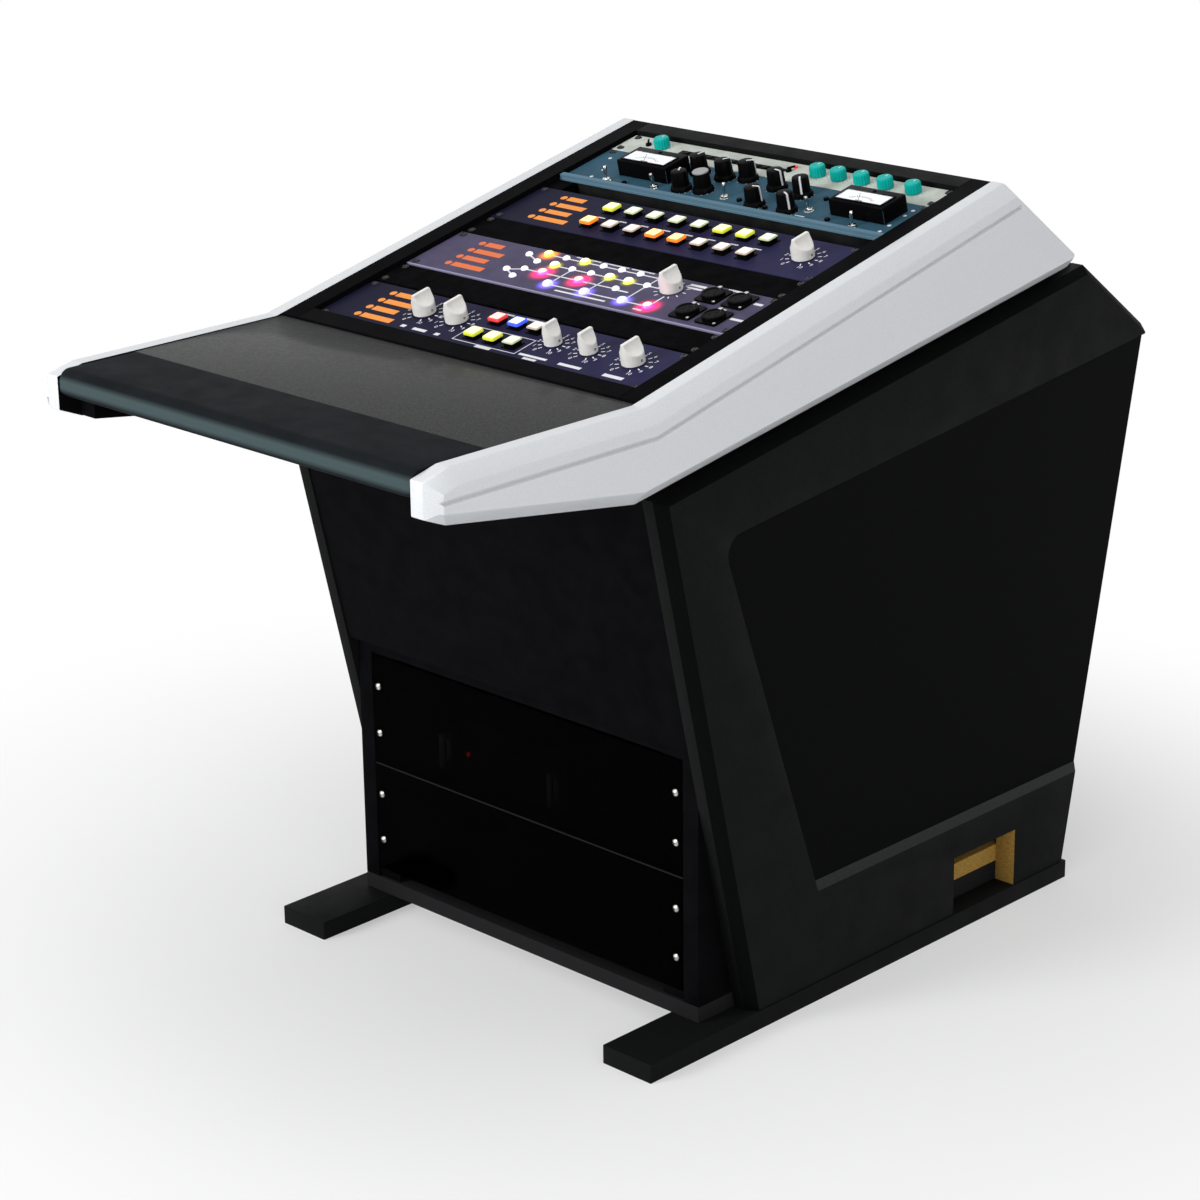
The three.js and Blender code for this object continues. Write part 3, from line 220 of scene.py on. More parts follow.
def add_node(owner, kind, inputs=None, **settings):
    """Adds a node to a finish or a world; an input takes a value or another node's socket."""
    made = owner.node_tree.nodes.new(kind)
    for key, value in settings.items():
        setattr(made, key, value)
    for key, value in (inputs or {}).items():
        if isinstance(value, bpy.types.NodeSocket):
            owner.node_tree.links.new(value, made.inputs[key])
        else:
            made.inputs[key].default_value = value
    return made


def maths(owner, operation, *values):
    return add_node(owner, "ShaderNodeMath", dict(enumerate(values)), operation=operation).outputs[0]


def vector_maths(finish, operation, *values, output="Vector"):
    return add_node(finish, "ShaderNodeVectorMath", dict(enumerate(values)), operation=operation).outputs[output]


def surface(finish):
    return finish.node_tree.nodes["Principled BSDF"]


def feed(finish, socket, source):
    finish.node_tree.links.new(source, surface(finish).inputs[socket])


def own_coordinates(finish):
    return add_node(finish, "ShaderNodeTexCoord").outputs["Object"]


def axis(finish, letter):
    """One of the desk's own coordinates in metres."""
    return add_node(finish, "ShaderNodeSeparateXYZ", {"Vector": own_coordinates(finish)}).outputs[letter]


def along(finish, direction):
    """How far a point lies along a direction, in metres."""
    return vector_maths(finish, "DOT_PRODUCT", own_coordinates(finish), direction, output="Value")


def new_finish(name, base, roughness, **values):
    """A finish with its plain values set on the shader's own sockets."""
    finish = bpy.data.materials.new(name)
    finish.use_nodes = True
    shader = surface(finish)
    shader.inputs["Base Color"].default_value = (*base, 1)
    shader.inputs["Roughness"].default_value = roughness
    for key, value in values.items():
        shader.inputs[key.replace("_", " ")].default_value = value
    finish.diffuse_color = (*base, 1)
    return finish


def noise(finish, scale, detail=4.0, stretch=(1, 1, 1)):
    place = add_node(finish, "ShaderNodeMapping", {"Vector": own_coordinates(finish), "Scale": stretch})
    return add_node(finish, "ShaderNodeTexNoise", {
        "Vector": place.outputs["Vector"], "Scale": scale, "Detail": detail, "Roughness": 0.6}).outputs["Fac"]


def add_bump(finish, height, strength, distance):
    """Adds relief; a second call builds on the first."""
    inputs = {"Height": height, "Strength": strength, "Distance": distance}
    linked = surface(finish).inputs["Normal"].links
    if linked:
        inputs["Normal"] = linked[0].from_socket
    feed(finish, "Normal", add_node(finish, "ShaderNodeBump", inputs).outputs["Normal"])


def add_grain(finish, scale, strength, distance, detail=3.0):
    add_bump(finish, noise(finish, scale, detail), strength, distance)


def blend_colours(finish, share, first, second):
    """A colour between two others, each of them a socket or three values."""
    inputs = {MIX_SHARE: share}
    for key, value in ((MIX_FIRST, first), (MIX_SECOND, second)):
        inputs[key] = value if isinstance(value, bpy.types.NodeSocket) else (*value, 1)
    return add_node(finish, "ShaderNodeMix", inputs, data_type="RGBA").outputs[MIX_RESULT]


def spread(owner, value, low, high, out_low=0.0, out_high=1.0, **settings):
    return add_node(owner, "ShaderNodeMapRange", {
        "Value": value, "From Min": low, "From Max": high, "To Min": out_low, "To Max": out_high,
    }, **settings).outputs["Result"]


def vary(finish, first, second, scale, detail=5.0, low=0.35, high=0.65, stretch=(1, 1, 1)):
    """Spreads two tones of a colour over the surface."""
    share = spread(finish, noise(finish, scale, detail, stretch), low, high)
    feed(finish, "Base Color", blend_colours(finish, share, first, second))


def vary_roughness(finish, low, high, scale):
    feed(finish, "Roughness", spread(finish, noise(finish, scale), 0.35, 0.65, low, high))


def tone(base, factor):
    return tuple(min(1.0, c * factor) for c in base)


def base_source(finish):
    """The socket that gives the finish its colour so far."""
    return surface(finish).inputs["Base Color"].links[0].from_socket


def lacquer(base, roughness, tones, mottle, gloss=None, grain=None, share=1.0, *, name, **values):
    """A coat in two tones of its colour; mottle, gloss and grain go to vary, vary_roughness and add_grain."""
    base = tone(colour(base), share)
    finish = new_finish(name, base, roughness, **values)
    vary(finish, tone(base, tones[0]), tone(base, tones[1]), *mottle)
    if gloss:
        vary_roughness(finish, *gloss)
    if grain:
        add_grain(finish, *grain)
    return finish


def moulded(base, roughness, specular=0.5, *, name):
    """Moulded plastic with a faint relief and slightly uneven gloss."""
    return lacquer(base, roughness, (0.96, 1.03), (120, 3.0), (roughness * 0.85, roughness * 1.2, 90),
                   (1600, 0.1, 0.0002), name=name, Specular_IOR_Level=specular)


def lit(base, glow, strength, roughness=0.25, *, name):
    """A lens with its lamp on behind it."""
    finish = lacquer(base, roughness, (0.93, 1.05), (220, 2.0), name=name, Emission_Strength=strength,
                     Subsurface_Weight=0.15, Subsurface_Scale=0.002)
    surface(finish).inputs["Emission Color"].default_value = (*glow, 1)
    return finish


def printed(base, *, name):
    return lacquer(base, 0.5, (0.92, 1.0), (400, 2.0), name=name)


def metal(base, roughness, *, name):
    finish = new_finish(name, base, roughness, Metallic=1.0)
    vary_roughness(finish, roughness * 0.8, roughness * 1.3, 250)
    add_grain(finish, 900, 0.05, 0.0002)
    return finish


def powder_coat(name):
    finish = new_finish(name, (0.003, 0.003, 0.0035), 0.36, Specular_IOR_Level=0.001)
    vary(finish, (0.0022, 0.0022, 0.0026), (0.0045, 0.0045, 0.0052), 60)
    add_grain(finish, 1400, 0.2, 0.0003)
    return finish


def meter_window(name):
    """Clear cover over a dial, with faint wipe marks in its gloss."""
    finish = new_finish(name, (1, 1, 1), 0.02, Transmission_Weight=1.0, IOR=1.45)
    vary_roughness(finish, 0.01, 0.06, 60)
    return finish


def floor_board(name):
    """Board painted black, with raw battens behind the lower rack."""
    finish = FINISHES["raw_fibreboard"](name=name)
    behind = maths(finish, "GREATER_THAN", axis(finish, "Y"), BATTEN_FRONT)
    above = maths(finish, "GREATER_THAN", axis(finish, "Z"), BATTEN_FOOT)
    bare = maths(finish, "MULTIPLY", behind, above)
    feed(finish, "Base Color", blend_colours(finish, bare, (0.005, 0.005, 0.006), base_source(finish)))
    return finish


def armrest_vinyl(name):
    """Smooth cover with a fine pressed grain and a painted highlight: a paler band along its round nose."""
    finish = lacquer("vinyl", 0.42, (0.9, 1.15), (18, 4.0), (0.42, 0.52, 30), name=name, Specular_IOR_Level=0.005)
    # Painted highlight: the lower front of the nose is paler, where light catches its round.
    front = spread(finish, axis(finish, "Y"), -0.553, -0.5645)
    below = spread(finish, axis(finish, "Z"), 0.7240, 0.7180)
    above = spread(finish, axis(finish, "Z"), 0.7050, 0.7110)
    painted_highlight_band = maths(finish, "MULTIPLY", front, maths(finish, "MULTIPLY", below, above))
    feed(finish, "Base Color", blend_colours(finish, painted_highlight_band, base_source(finish), (0.054, 0.078, 0.082)))
    cells = add_node(finish, "ShaderNodeTexVoronoi", {"Vector": own_coordinates(finish), "Scale": 950.0},
                     feature="DISTANCE_TO_EDGE")
    add_bump(finish, spread(finish, cells.outputs["Distance"], 0.0, 0.22), 0.28, 0.00035)
    return finish


def smoked_sheet(name):
    """Dark clear sheet; the lower panel's sawn top edge is dull and a little paler."""
    clear = (0.07, 0.07, 0.08)
    finish = new_finish(name, clear, 0.05, Specular_IOR_Level=0.004, Transmission_Weight=1.0, IOR=1.05)
    vary_roughness(finish, 0.05, 0.12, 12)
    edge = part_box("smoked_panel_lower")[1].z - 0.4 * MM
    sawn = maths(finish, "COMPARE", axis(finish, "Z"), edge, 0.5 * MM)
    feed(finish, "Base Color", blend_colours(finish, sawn, clear, (0.020, 0.020, 0.022)))
    feed(finish, "Transmission Weight", spread(finish, sawn, 0, 1, 1, 0))
    return finish


def panel_paint(base, roughness=0.42, painted_sheen=1.0, rim_highlight=None, *, name):
    """Painted panel, paler to the right by a painted sheen of the given share, with a painted highlight on its
    front rim and steel on its chassis painted near black as painted shade.
    """
    base = colour(base)
    finish = new_finish(name, base, roughness, Specular_IOR_Level=0.02)
    back = RACK_ORIGIN.dot(RACK_OUT) - (PANEL_RECESS + PANEL_THICKNESS + 0.1) * MM
    painted = maths(finish, "GREATER_THAN", along(finish, RACK_OUT), back)
    mottled = spread(finish, noise(finish, 45, 5.0), 0.35, 0.65)
    paint = blend_colours(finish, mottled, tone(base, 0.9), tone(base, 1.12))
    # Painted sheen: the paint grows paler towards the right, as if lit from that side.
    if painted_sheen > 1.0:
        across = spread(finish, axis(finish, "X"), -HALF_PANEL * MM, HALF_PANEL * MM)
        paint = blend_colours(finish, across, paint, tone(base, painted_sheen))
    # Painted highlight: a paler band along the panel's front rim, where light catches its edge.
    if rim_highlight:
        unit, depth, highlight_colour = rim_highlight
        edge = unit_place(unit) @ Vector((0, depth, 0))
        front = maths(finish, "LESS_THAN", along(finish, RACK_UP), edge.dot(RACK_UP))
        paint = blend_colours(finish, front, paint, highlight_colour)
    # The chassis is steel; its near-black tone is painted shade in the gaps between units.
    shaded_steel = blend_colours(finish, mottled, (0.012, 0.012, 0.013), (0.020, 0.020, 0.021))
    feed(finish, "Base Color", blend_colours(finish, painted, shaded_steel, paint))
    add_grain(finish, 1500, 0.1, 0.0002)
    return finish


def matrix_paint(name):
    """The matrix unit's paint with the coloured light that its lamps throw on it."""
    # The matrix panel's front edge carries a painted highlight.
    finish = panel_paint("lilac", 0.38, rim_highlight=("unit_2", 1.0, (0.30, 0.28, 0.42)), name=name)
    where, total = own_coordinates(finish), (0.0, 0.0, 0.0)
    for tint, places in LAMPS.items():
        light, reach = SPILL[tint]
        for x, y in places:
            centre = unit_place("unit_2") @ Vector((x, y, 1.5))
            away = vector_maths(finish, "DISTANCE", where, centre, output="Value")
            soft = maths(finish, "POWER", spread(finish, away, reach * MM, 4 * MM), 3.0)
            total = vector_maths(finish, "MULTIPLY_ADD", light, soft, total)
    feed(finish, "Emission Color", total)
    surface(finish).inputs["Emission Strength"].default_value = 1.0
    return finish


LIT = {
    "meter_dial": ((0.85, 0.86, 0.88), (0.80, 0.86, 1.0), 0.35, 0.5),
    "pale_lens": ((0.46, 0.52, 0.30), (0.62, 0.76, 0.36), 0.16),
    "pale_middle": ((0.78, 0.84, 0.66), (0.85, 1.0, 0.72), 0.36),
    "cream_lens": ((0.48, 0.38, 0.30), (0.90, 0.62, 0.44), 0.12),
    "cream_middle": ((0.84, 0.77, 0.70), (1.0, 0.88, 0.78), 0.34),
    "yellow_lens": ((0.50, 0.52, 0.04), (0.85, 0.86, 0.05), 0.42),
    "yellow_middle": ((0.90, 0.92, 0.42), (1.0, 1.0, 0.50), 0.75),
    "orange_lens": ((0.80, 0.16, 0.02), (1.0, 0.20, 0.01), 0.85),
    "orange_middle": ((0.95, 0.70, 0.26), (1.0, 0.68, 0.24), 1.1),
    "red_lens": ((0.62, 0.03, 0.03), (1.0, 0.05, 0.05), 0.5),
    "red_middle": ((0.88, 0.50, 0.46), (1.0, 0.55, 0.50), 0.7),
    "blue_lens": ((0.03, 0.06, 0.75), (0.05, 0.10, 1.0), 0.9),
    "blue_middle": ((0.45, 0.58, 0.95), (0.50, 0.66, 1.0), 1.3),
    "orange_lamp": ((1.0, 0.45, 0.10), (1.0, 0.22, 0.02), 2.4),
    "orange_core": ((1.0, 0.80, 0.45), (1.0, 0.75, 0.30), 1.6),
    "yellow_lamp": ((1.0, 0.95, 0.20), (0.80, 0.78, 0.02), 0.9),
    "yellow_core": ((1.0, 1.0, 0.60), (1.0, 0.98, 0.42), 1.6),
    "magenta_lamp": ((1.0, 0.20, 0.45), (1.0, 0.02, 0.16), 3.0),
    "magenta_core": ((0.9, 0.55, 0.40), (1.0, 0.72, 0.42), 1.2),
    "blue_lamp": ((0.45, 0.50, 1.0), (0.20, 0.18, 1.0), 2.6),
    "blue_core": ((0.45, 0.60, 0.95), (0.42, 0.62, 1.0), 1.2),
    "white_lamp": ((0.85, 0.83, 0.90), (0.9, 0.86, 1.0), 0.6),
    "red_lamp": ((0.55, 0.03, 0.03), (1.0, 0.02, 0.02), 0.6),
}
FINISHES = {
    "cheek_silver_lacquer": partial(
        lacquer, "silver", 0.36, (0.93, 1.05), (1100, 3.0, 0.40, 0.62), (0.32, 0.42, 60), (900, 0.05, 0.0003),
        Metallic=0.15, Coat_Weight=0.25, Coat_Roughness=0.22),
    # Silver darkened in the cheeks' groove: painted shade.
    "groove_silver_lacquer": partial(
        lacquer, "silver", 0.5, (0.92, 1.06), (900, 3.0, 0.40, 0.62), None, (900, 0.05, 0.0003), 0.90),
    "textured_black_lacquer": partial(
        lacquer, "black", 0.55, (0.7, 1.8), (900, 3.0, 0.40, 0.72), (0.48, 0.62, 25), (1000, 0.30, 0.0005),
        Specular_IOR_Level=0.03),
    "field_black_lacquer": partial(
        lacquer, "black", 0.6, (0.8, 1.5), (700, 3.0, 0.40, 0.72), None, (1100, 0.15, 0.0003), 0.5,
        Specular_IOR_Level=0.01),
    # Black made paler on the upward ledge: a painted highlight.
    "ledge_black_lacquer": partial(
        lacquer, "black", 0.5, (0.7, 1.5), (500, 4.0, 0.35, 0.70), None, (1000, 0.30, 0.0005), 2.6,
        Specular_IOR_Level=0.1),
    "satin_black_lacquer": partial(
        lacquer, "satin_black", 0.42, (0.85, 1.25), (35, 4.0), (0.38, 0.48, 18), (1200, 0.10, 0.0003),
        Specular_IOR_Level=0.004),
    "raw_fibreboard": partial(
        lacquer, "fibreboard", 0.85, (0.72, 1.2), (260, 8.0, 0.35, 0.65, (1, 1, 3)), None, (900, 0.5, 0.0008, 6.0),
        Specular_IOR_Level=0.2),
    "work_surface_laminate": partial(
        lacquer, "laminate", 0.38, (0.75, 1.3), (420, 3.0, 0.38, 0.66), (0.33, 0.42, 150), (700, 0.06, 0.0003),
        Specular_IOR_Level=0.01, Coat_Weight=0.10, Coat_Roughness=0.10),
    "floor_board_fibreboard": floor_board,
    "armrest_vinyl": armrest_vinyl,
    "smoked_sheet": smoked_sheet,
    "black_powder_coat": powder_coat,
    # The navy panels carry a painted sheen, paler towards the right.
    "navy_panel_paint": partial(panel_paint, "navy", painted_sheen=3.2),
    "grey_purple_panel_paint": matrix_paint,
    # The meter unit's front lip carries a painted highlight.
    "steel_blue_panel_paint": partial(panel_paint, "steel_blue", rim_highlight=("unit_4", 7.3, (0.11, 0.205, 0.275))),
    "ivory_panel_paint": partial(panel_paint, "ivory"),
    "off_white_plastic": partial(moulded, "knob", 0.33),
    "teal_plastic": partial(moulded, "teal", 0.30, 0.08),
    "black_plastic": partial(moulded, (0.0026, 0.0026, 0.0030), 0.30, 0.02),
    "grey_plastic": partial(moulded, (0.30, 0.30, 0.31), 0.35),
    # Near-black plastic that stands in for the shade inside holes, slots and recesses: painted shade.
    "dark_slot": partial(moulded, (0.004, 0.004, 0.004), 0.7, 0.1),
    "badge_orange": partial(printed, "badge"),
    "badge_amber": partial(printed, "amber"),
    "white_print": partial(printed, "marks"),
    "black_print": partial(printed, (0.01, 0.01, 0.012)),
    "red_print": partial(printed, (0.55, 0.02, 0.015)),
    "polished_nickel": partial(metal, (0.66, 0.65, 0.62), 0.16),
    "blackened_steel": partial(metal, (0.05, 0.05, 0.052), 0.34),
    "meter_window": meter_window,
    **{name: partial(lit, *values) for name, values in LIT.items()},
}


def finish_named(name):
    """Gives a finish by name and makes it on first use."""
    return bpy.data.materials.get(name) or FINISHES[name](name=name)


# Shapes, in millimetres

def slab(x0, x1, y0, y1, z0, z1, round_by=0.0, segments=2):
    """A block between two corners, with rounded edges."""
    shape = bmesh.new()
    bmesh.ops.create_cube(shape, size=1)
    bmesh.ops.scale(shape, vec=(x1 - x0, y1 - y0, z1 - z0), verts=shape.verts)
    bmesh.ops.translate(shape, vec=((x0 + x1) / 2, (y0 + y1) / 2, (z0 + z1) / 2), verts=shape.verts)
    if round_by:
        round_edges(shape, shape.edges[:], round_by, segments)
    return shape


def round_edges(shape, edges, by, segments=2):
    bmesh.ops.bevel(shape, geom=edges, offset=by, offset_type="OFFSET", segments=segments, profile=0.5,
                    affect="EDGES", clamp_overlap=True, material=-1)


def upright_edges(shape, climb=1.0):
    return [edge for edge in shape.edges if abs(edge.verts[0].co.z - edge.verts[1].co.z) > climb]


def edges_above(shape, height):
    return [edge for edge in shape.edges if all(vert.co.z > height for vert in edge.verts)]


def turned(profile, sides):
    """A profile of radius and height, spun round Z."""
    shape = bmesh.new()
    points = [shape.verts.new((radius, 0, height)) for radius, height in profile]
    lines = [shape.edges.new(pair) for pair in zip(points, points[1:])]
    bmesh.ops.spin(shape, geom=points + lines, cent=(0, 0, 0), axis=(0, 0, 1), dvec=(0, 0, 0), angle=math.tau,
                   steps=sides, use_merge=True, use_duplicate=False)
    bmesh.ops.remove_doubles(shape, verts=shape.verts, dist=0.001)
    bmesh.ops.recalc_face_normals(shape, faces=shape.faces)
    return shape


def puck(profile, sides):
    """A turned shape that is closed to its axis, flat at both ends."""
    return turned([(0, profile[0][1]), *profile, (0, profile[-1][1])], sides)


def flute(shape, count, depth, beyond, above=0.0):
    """Presses grip flutes into a turned shape, beyond a radius and above a height."""
    for vert in shape.verts:
        reach = math.hypot(vert.co.x, vert.co.y)
        if reach > beyond and vert.co.z > above:
            dent = depth * (1 + math.cos(count * math.atan2(vert.co.y, vert.co.x)))
            vert.co.x *= 1 - dent / reach
            vert.co.y *= 1 - dent / reach


def at(x, y, z=0.0):
    return Matrix.Translation((x, y, z))


def rays(first, step, count=11):
    """Directions from a first angle by equal steps, in degrees."""
    for number in range(count):
        angle = math.radians(first + step * number)
        yield Vector((math.cos(angle), math.sin(angle)))


def bar(start, end, width, low=PRINT_SINK, high=PRINT_RISE):
    """A thin printed bar between two points on a panel."""
    start, end = Vector(start), Vector(end)
    shape = slab(-width / 2, (end - start).length + width / 2, -width / 2, width / 2, low, high)
    turn = Matrix.Rotation(math.atan2(end.y - start.y, end.x - start.x), 4, "Z")
    bmesh.ops.transform(shape, matrix=at(*start) @ turn, verts=shape.verts)
    return shape


def dot(x, y, radius, sides=16):
    shape = puck([(radius, PRINT_SINK), (radius, PRINT_RISE)], sides)
    bmesh.ops.translate(shape, vec=(x, y, 0), verts=shape.verts)
    return shape


def written(text, height, x, y):
    """A number as a thin printed shape, centred on its place."""
    curve = bpy.data.curves.new("number", "FONT")
    curve.body = text
    curve.size = height * 1.35
    curve.align_x = "CENTER"
    curve.align_y = "CENTER"
    curve.extrude = 0.12
    curve.resolution_u = 3
    holder = bpy.data.objects.new("number", curve)
    bpy.context.scene.collection.objects.link(holder)
    bpy.context.view_layer.update()
    shape = bmesh.new()
    shape.from_mesh(holder.to_mesh())
    bpy.data.objects.remove(holder)
    bpy.data.curves.remove(curve)
    bmesh.ops.remove_doubles(shape, verts=shape.verts, dist=0.0005)
    bmesh.ops.translate(shape, vec=(x, y, 0), verts=shape.verts)
    return shape


def gather(target, shape, index=0, place=Matrix()):
    """Moves a shape into another, painted with one of the piece's finishes."""
    bmesh.ops.transform(shape, matrix=place, verts=shape.verts)
    for face in shape.faces:
        face.material_index = index
    carried = bpy.data.meshes.new("carried")
    shape.to_mesh(carried)
    shape.free()
    target.from_mesh(carried)
    bpy.data.meshes.remove(carried)


def gathered(parts):
    """One shape of many; a part is a shape, or a shape with the number of its finish and its place."""
    whole = bmesh.new()
    for part in parts:
        gather(whole, *(part if isinstance(part, tuple) else (part,)))
    return whole


def finish_piece(name, shape, finishes, body=FRAME_BODY, place=Matrix.Scale(MM, 4), stands_for=(),
                 sharp=32):
    """Turns a shape into an object of the desk: placed in its mesh, shaded, painted and riding on its body."""
    bmesh.ops.transform(shape, matrix=place, verts=shape.verts)
    mesh = bpy.data.meshes.new(name)
    shape.to_mesh(mesh)
    shape.free()
    for finish in finishes:
        mesh.materials.append(finish_named(finish))
    for face in mesh.polygons:
        face.use_smooth = True
    mesh.set_sharp_from_angle(angle=math.radians(sharp))
    made = bpy.data.objects.new(name, mesh)
    bpy.context.scene.collection.objects.link(made)
    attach(made, body)
    if stands_for:
        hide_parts(*stands_for)
    return made


def unit_place(unit):
    """From millimetres on a unit's panel to the desk's own frame."""
    return (Matrix.Translation(RACK_ORIGIN) @ Matrix.Rotation(RACK_SLOPE, 4, "X") @ Matrix.Scale(MM, 4)
            @ at(0, UNIT_START[unit], -PANEL_RECESS))


def spot(unit, share):
    """A place on a unit's panel in millimetres, from its shares."""
    return Vector((share[0] * HALF_PANEL, share[1] * UNIT_HEIGHT[unit], 0))


def on_panel(unit, name, parts, *finishes, sharp=32):
    """Finishes a piece of many parts that stays on a unit's panel."""
    finish_piece(f"{unit}_{name}", gathered(parts), finishes, place=unit_place(unit), sharp=sharp)


def knob_radius(node):
    return 9.8 if node in SMALL_KNOBS else 12.7


def soften(node, finishes, by, pick=None, segments=3):
    """Replaces a board by a copy with whole flat faces and rounded edges; pick gives each face's finish."""
    shape = bmesh.new()
    shape.from_mesh(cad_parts[node].data)
    bmesh.ops.remove_doubles(shape, verts=shape.verts, dist=1e-6)
    bmesh.ops.dissolve_limit(shape, angle_limit=math.radians(0.4), verts=shape.verts, edges=shape.edges)
    for face in shape.faces:
        face.material_index = pick(face) if pick else 0
    hard = [edge for edge in shape.edges
            if len(edge.link_faces) == 2 and edge.calc_face_angle(0) > math.radians(12)]
    round_edges(shape, hard, by * MM, segments)
    finish_piece(f"{node}_board", shape, finishes, place=Matrix(), stands_for=(node,), sharp=24)


def within(value, span):
    return span[0] < value < span[1]


# Operators, one for each piece or group of like pieces

class STUDIODESK_OT_boards(bpy.types.Operator):
    """Rounds and lacquers the cheeks, side panels, runners and inner boards"""

    bl_idname = "studio_desk.boards"
    bl_label = "Boards"

    def execute(self, context):
        edge = sizes().board_edge
        for side in ("left", "right"):
            soften(f"cheek_{side}", ["cheek_silver_lacquer", "satin_black_lacquer", "groove_silver_lacquer"],
                   sizes().cheek_edge, self.cheek_face, 4)
            soften(f"side_panel_{side}",
                   ["textured_black_lacquer", "raw_fibreboard", "field_black_lacquer", "ledge_black_lacquer"],
                   edge, self.side_face)
            soften(f"runner_{side}", ["textured_black_lacquer"], edge)
            soften(f"rack_side_{side}", ["satin_black_lacquer"], 0.5, segments=2)
        for node in ("modesty_panel", "lower_rack_carcass"):
            soften(node, ["satin_black_lacquer"], 0.6, segments=2)
        for node in ("rear_slope_panel", "rear_panel"):
            soften(node, ["textured_black_lacquer"], 0.6, segments=2)
        soften("base_board", ["floor_board_fibreboard"], 0.4, segments=2)
        soften("work_surface", ["work_surface_laminate"], 0.8)
        return {"FINISHED"}

    def side_face(self, face):
        """Raw board in the cable port, a darker field, and a paler ledge below the field, where the paler tone on
        its upward faces is a painted highlight.
        """
        centre = face.calc_center_median()
        if within(centre.y, PORT_Y) and within(centre.z, PORT_Z) and abs(face.normal.x) < 0.5:
            return 1
        if within(abs(centre.x), FIELD_X):
            return 2
        # Upward faces of the ledge take the painted highlight.
        return 3 if within(abs(centre.x), LEDGE_X) and face.normal.z > 0.3 else 0

    def cheek_face(self, face):
        """Black on the face that looks into the desk, silver painted darker in the groove as painted shade, silver
        elsewhere.
        """
        centre, flat = face.calc_center_median(), abs(face.normal.x) > 0.98
        if flat and face.normal.x * centre.x < 0:
            return 1
        # Faces in the groove take the painted shade.
        return 2 if within(abs(centre.x), GROOVE_X) and not flat else 0


class STUDIODESK_OT_armrest(bpy.types.Operator):
    """Builds the padded armrest with its round nose and drawn-in ends"""

    bl_idname = "studio_desk.armrest"
    bl_label = "Armrest"

    def execute(self, context):
        low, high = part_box("armrest_pad")
        half, front, rear = high.x / MM, low.y / MM, high.y / MM
        under, top = low.z / MM, high.z / MM - 0.2
        seat, hook = 711.3, -542.3
        outline = [(front, under), (hook, under), (hook, seat), (rear, seat), (rear, top), (front, top)]
        shape = bmesh.new()
        corners = [shape.verts.new((-half, y, z)) for y, z in outline]
        shape.faces.new(corners)
        under_nose, back, nose = corners[0], corners[4], corners[5]
        for corner, radius, steps in ((nose, 13.0, 10), (under_nose, 6.0, 6), (back, 2.2, 4)):
            bmesh.ops.bevel(shape, geom=[corner], offset=radius, offset_type="OFFSET", segments=steps, profile=0.5,
                            affect="VERTICES", clamp_overlap=False, material=-1)
        pushed = bmesh.ops.extrude_face_region(shape, geom=shape.faces[:])
        moved = [item for item in pushed["geom"] if isinstance(item, bmesh.types.BMVert)]
        bmesh.ops.translate(shape, vec=(2 * half, 0, 0), verts=moved)
        lengthwise = [edge for edge in shape.edges if abs(edge.verts[0].co.x - edge.verts[1].co.x) > half]
        bmesh.ops.subdivide_edges(shape, edges=lengthwise, cuts=79, use_grid_fill=False)
        self.draw_in_ends(shape, half, front, rear, under, top)
        bmesh.ops.recalc_face_normals(shape, faces=shape.faces)
        pad = finish_piece("armrest_cover", shape, ["armrest_vinyl"], stands_for=("armrest_pad",),
                           sharp=40)
        return {"FINISHED"}

    def draw_in_ends(self, shape, half, front, rear, under, top):
        """Pulls the cover in over the foam's ends and gives its top a slight crown and ripple."""
        middle_y, middle_z = (front + rear) / 2, (under + top) / 2
        for vert in shape.verts:
            end = max(0.0, 1 - (half - abs(vert.co.x)) / 12)
            draw = sizes().pad_draw * end ** 2.4
            if vert.co.y < rear - 30 or vert.co.z > top - 4:
                vert.co.y += draw * (1 if vert.co.y < middle_y else -0.25)
            if vert.co.z > middle_z:
                share = (vert.co.y - front) / (rear - front)
                crown = sizes().pad_crown * math.sin(math.pi * min(1, max(0, share))) * (1 - end)
                vert.co.z += crown - draw * 0.8
            elif vert.co.z < middle_z - 8:
                vert.co.z += draw * 0.6
            ripple = math.sin(vert.co.x * 0.11) + 0.6 * math.sin(vert.co.x * 0.047 + 1.3)
            if vert.co.z > middle_z and vert.co.y < rear - 6:
                vert.co.z += 0.10 * ripple


class STUDIODESK_OT_rack_panels(bpy.types.Operator):
    """Paints the rack units, the blank panels, the smoked panels and the power supply"""

    bl_idname = "studio_desk.rack_panels"
    bl_label = "Rack panels"

    def execute(self, context):
        for finish, nodes in {
            "navy_panel_paint": ("unit_1", "unit_3"),
            "grey_purple_panel_paint": ("unit_2",),
            "steel_blue_panel_paint": ("unit_4",),
            "ivory_panel_paint": ("unit_5",),
            "black_powder_coat": ("filler_1", "filler_2", "power_supply"),
            "smoked_sheet": ("smoked_panel_upper", "smoked_panel_lower"),
        }.items():
            for node in nodes:
                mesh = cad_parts[node].data
                mesh.materials.clear()
                mesh.materials.append(finish_named(finish))
        return {"FINISHED"}


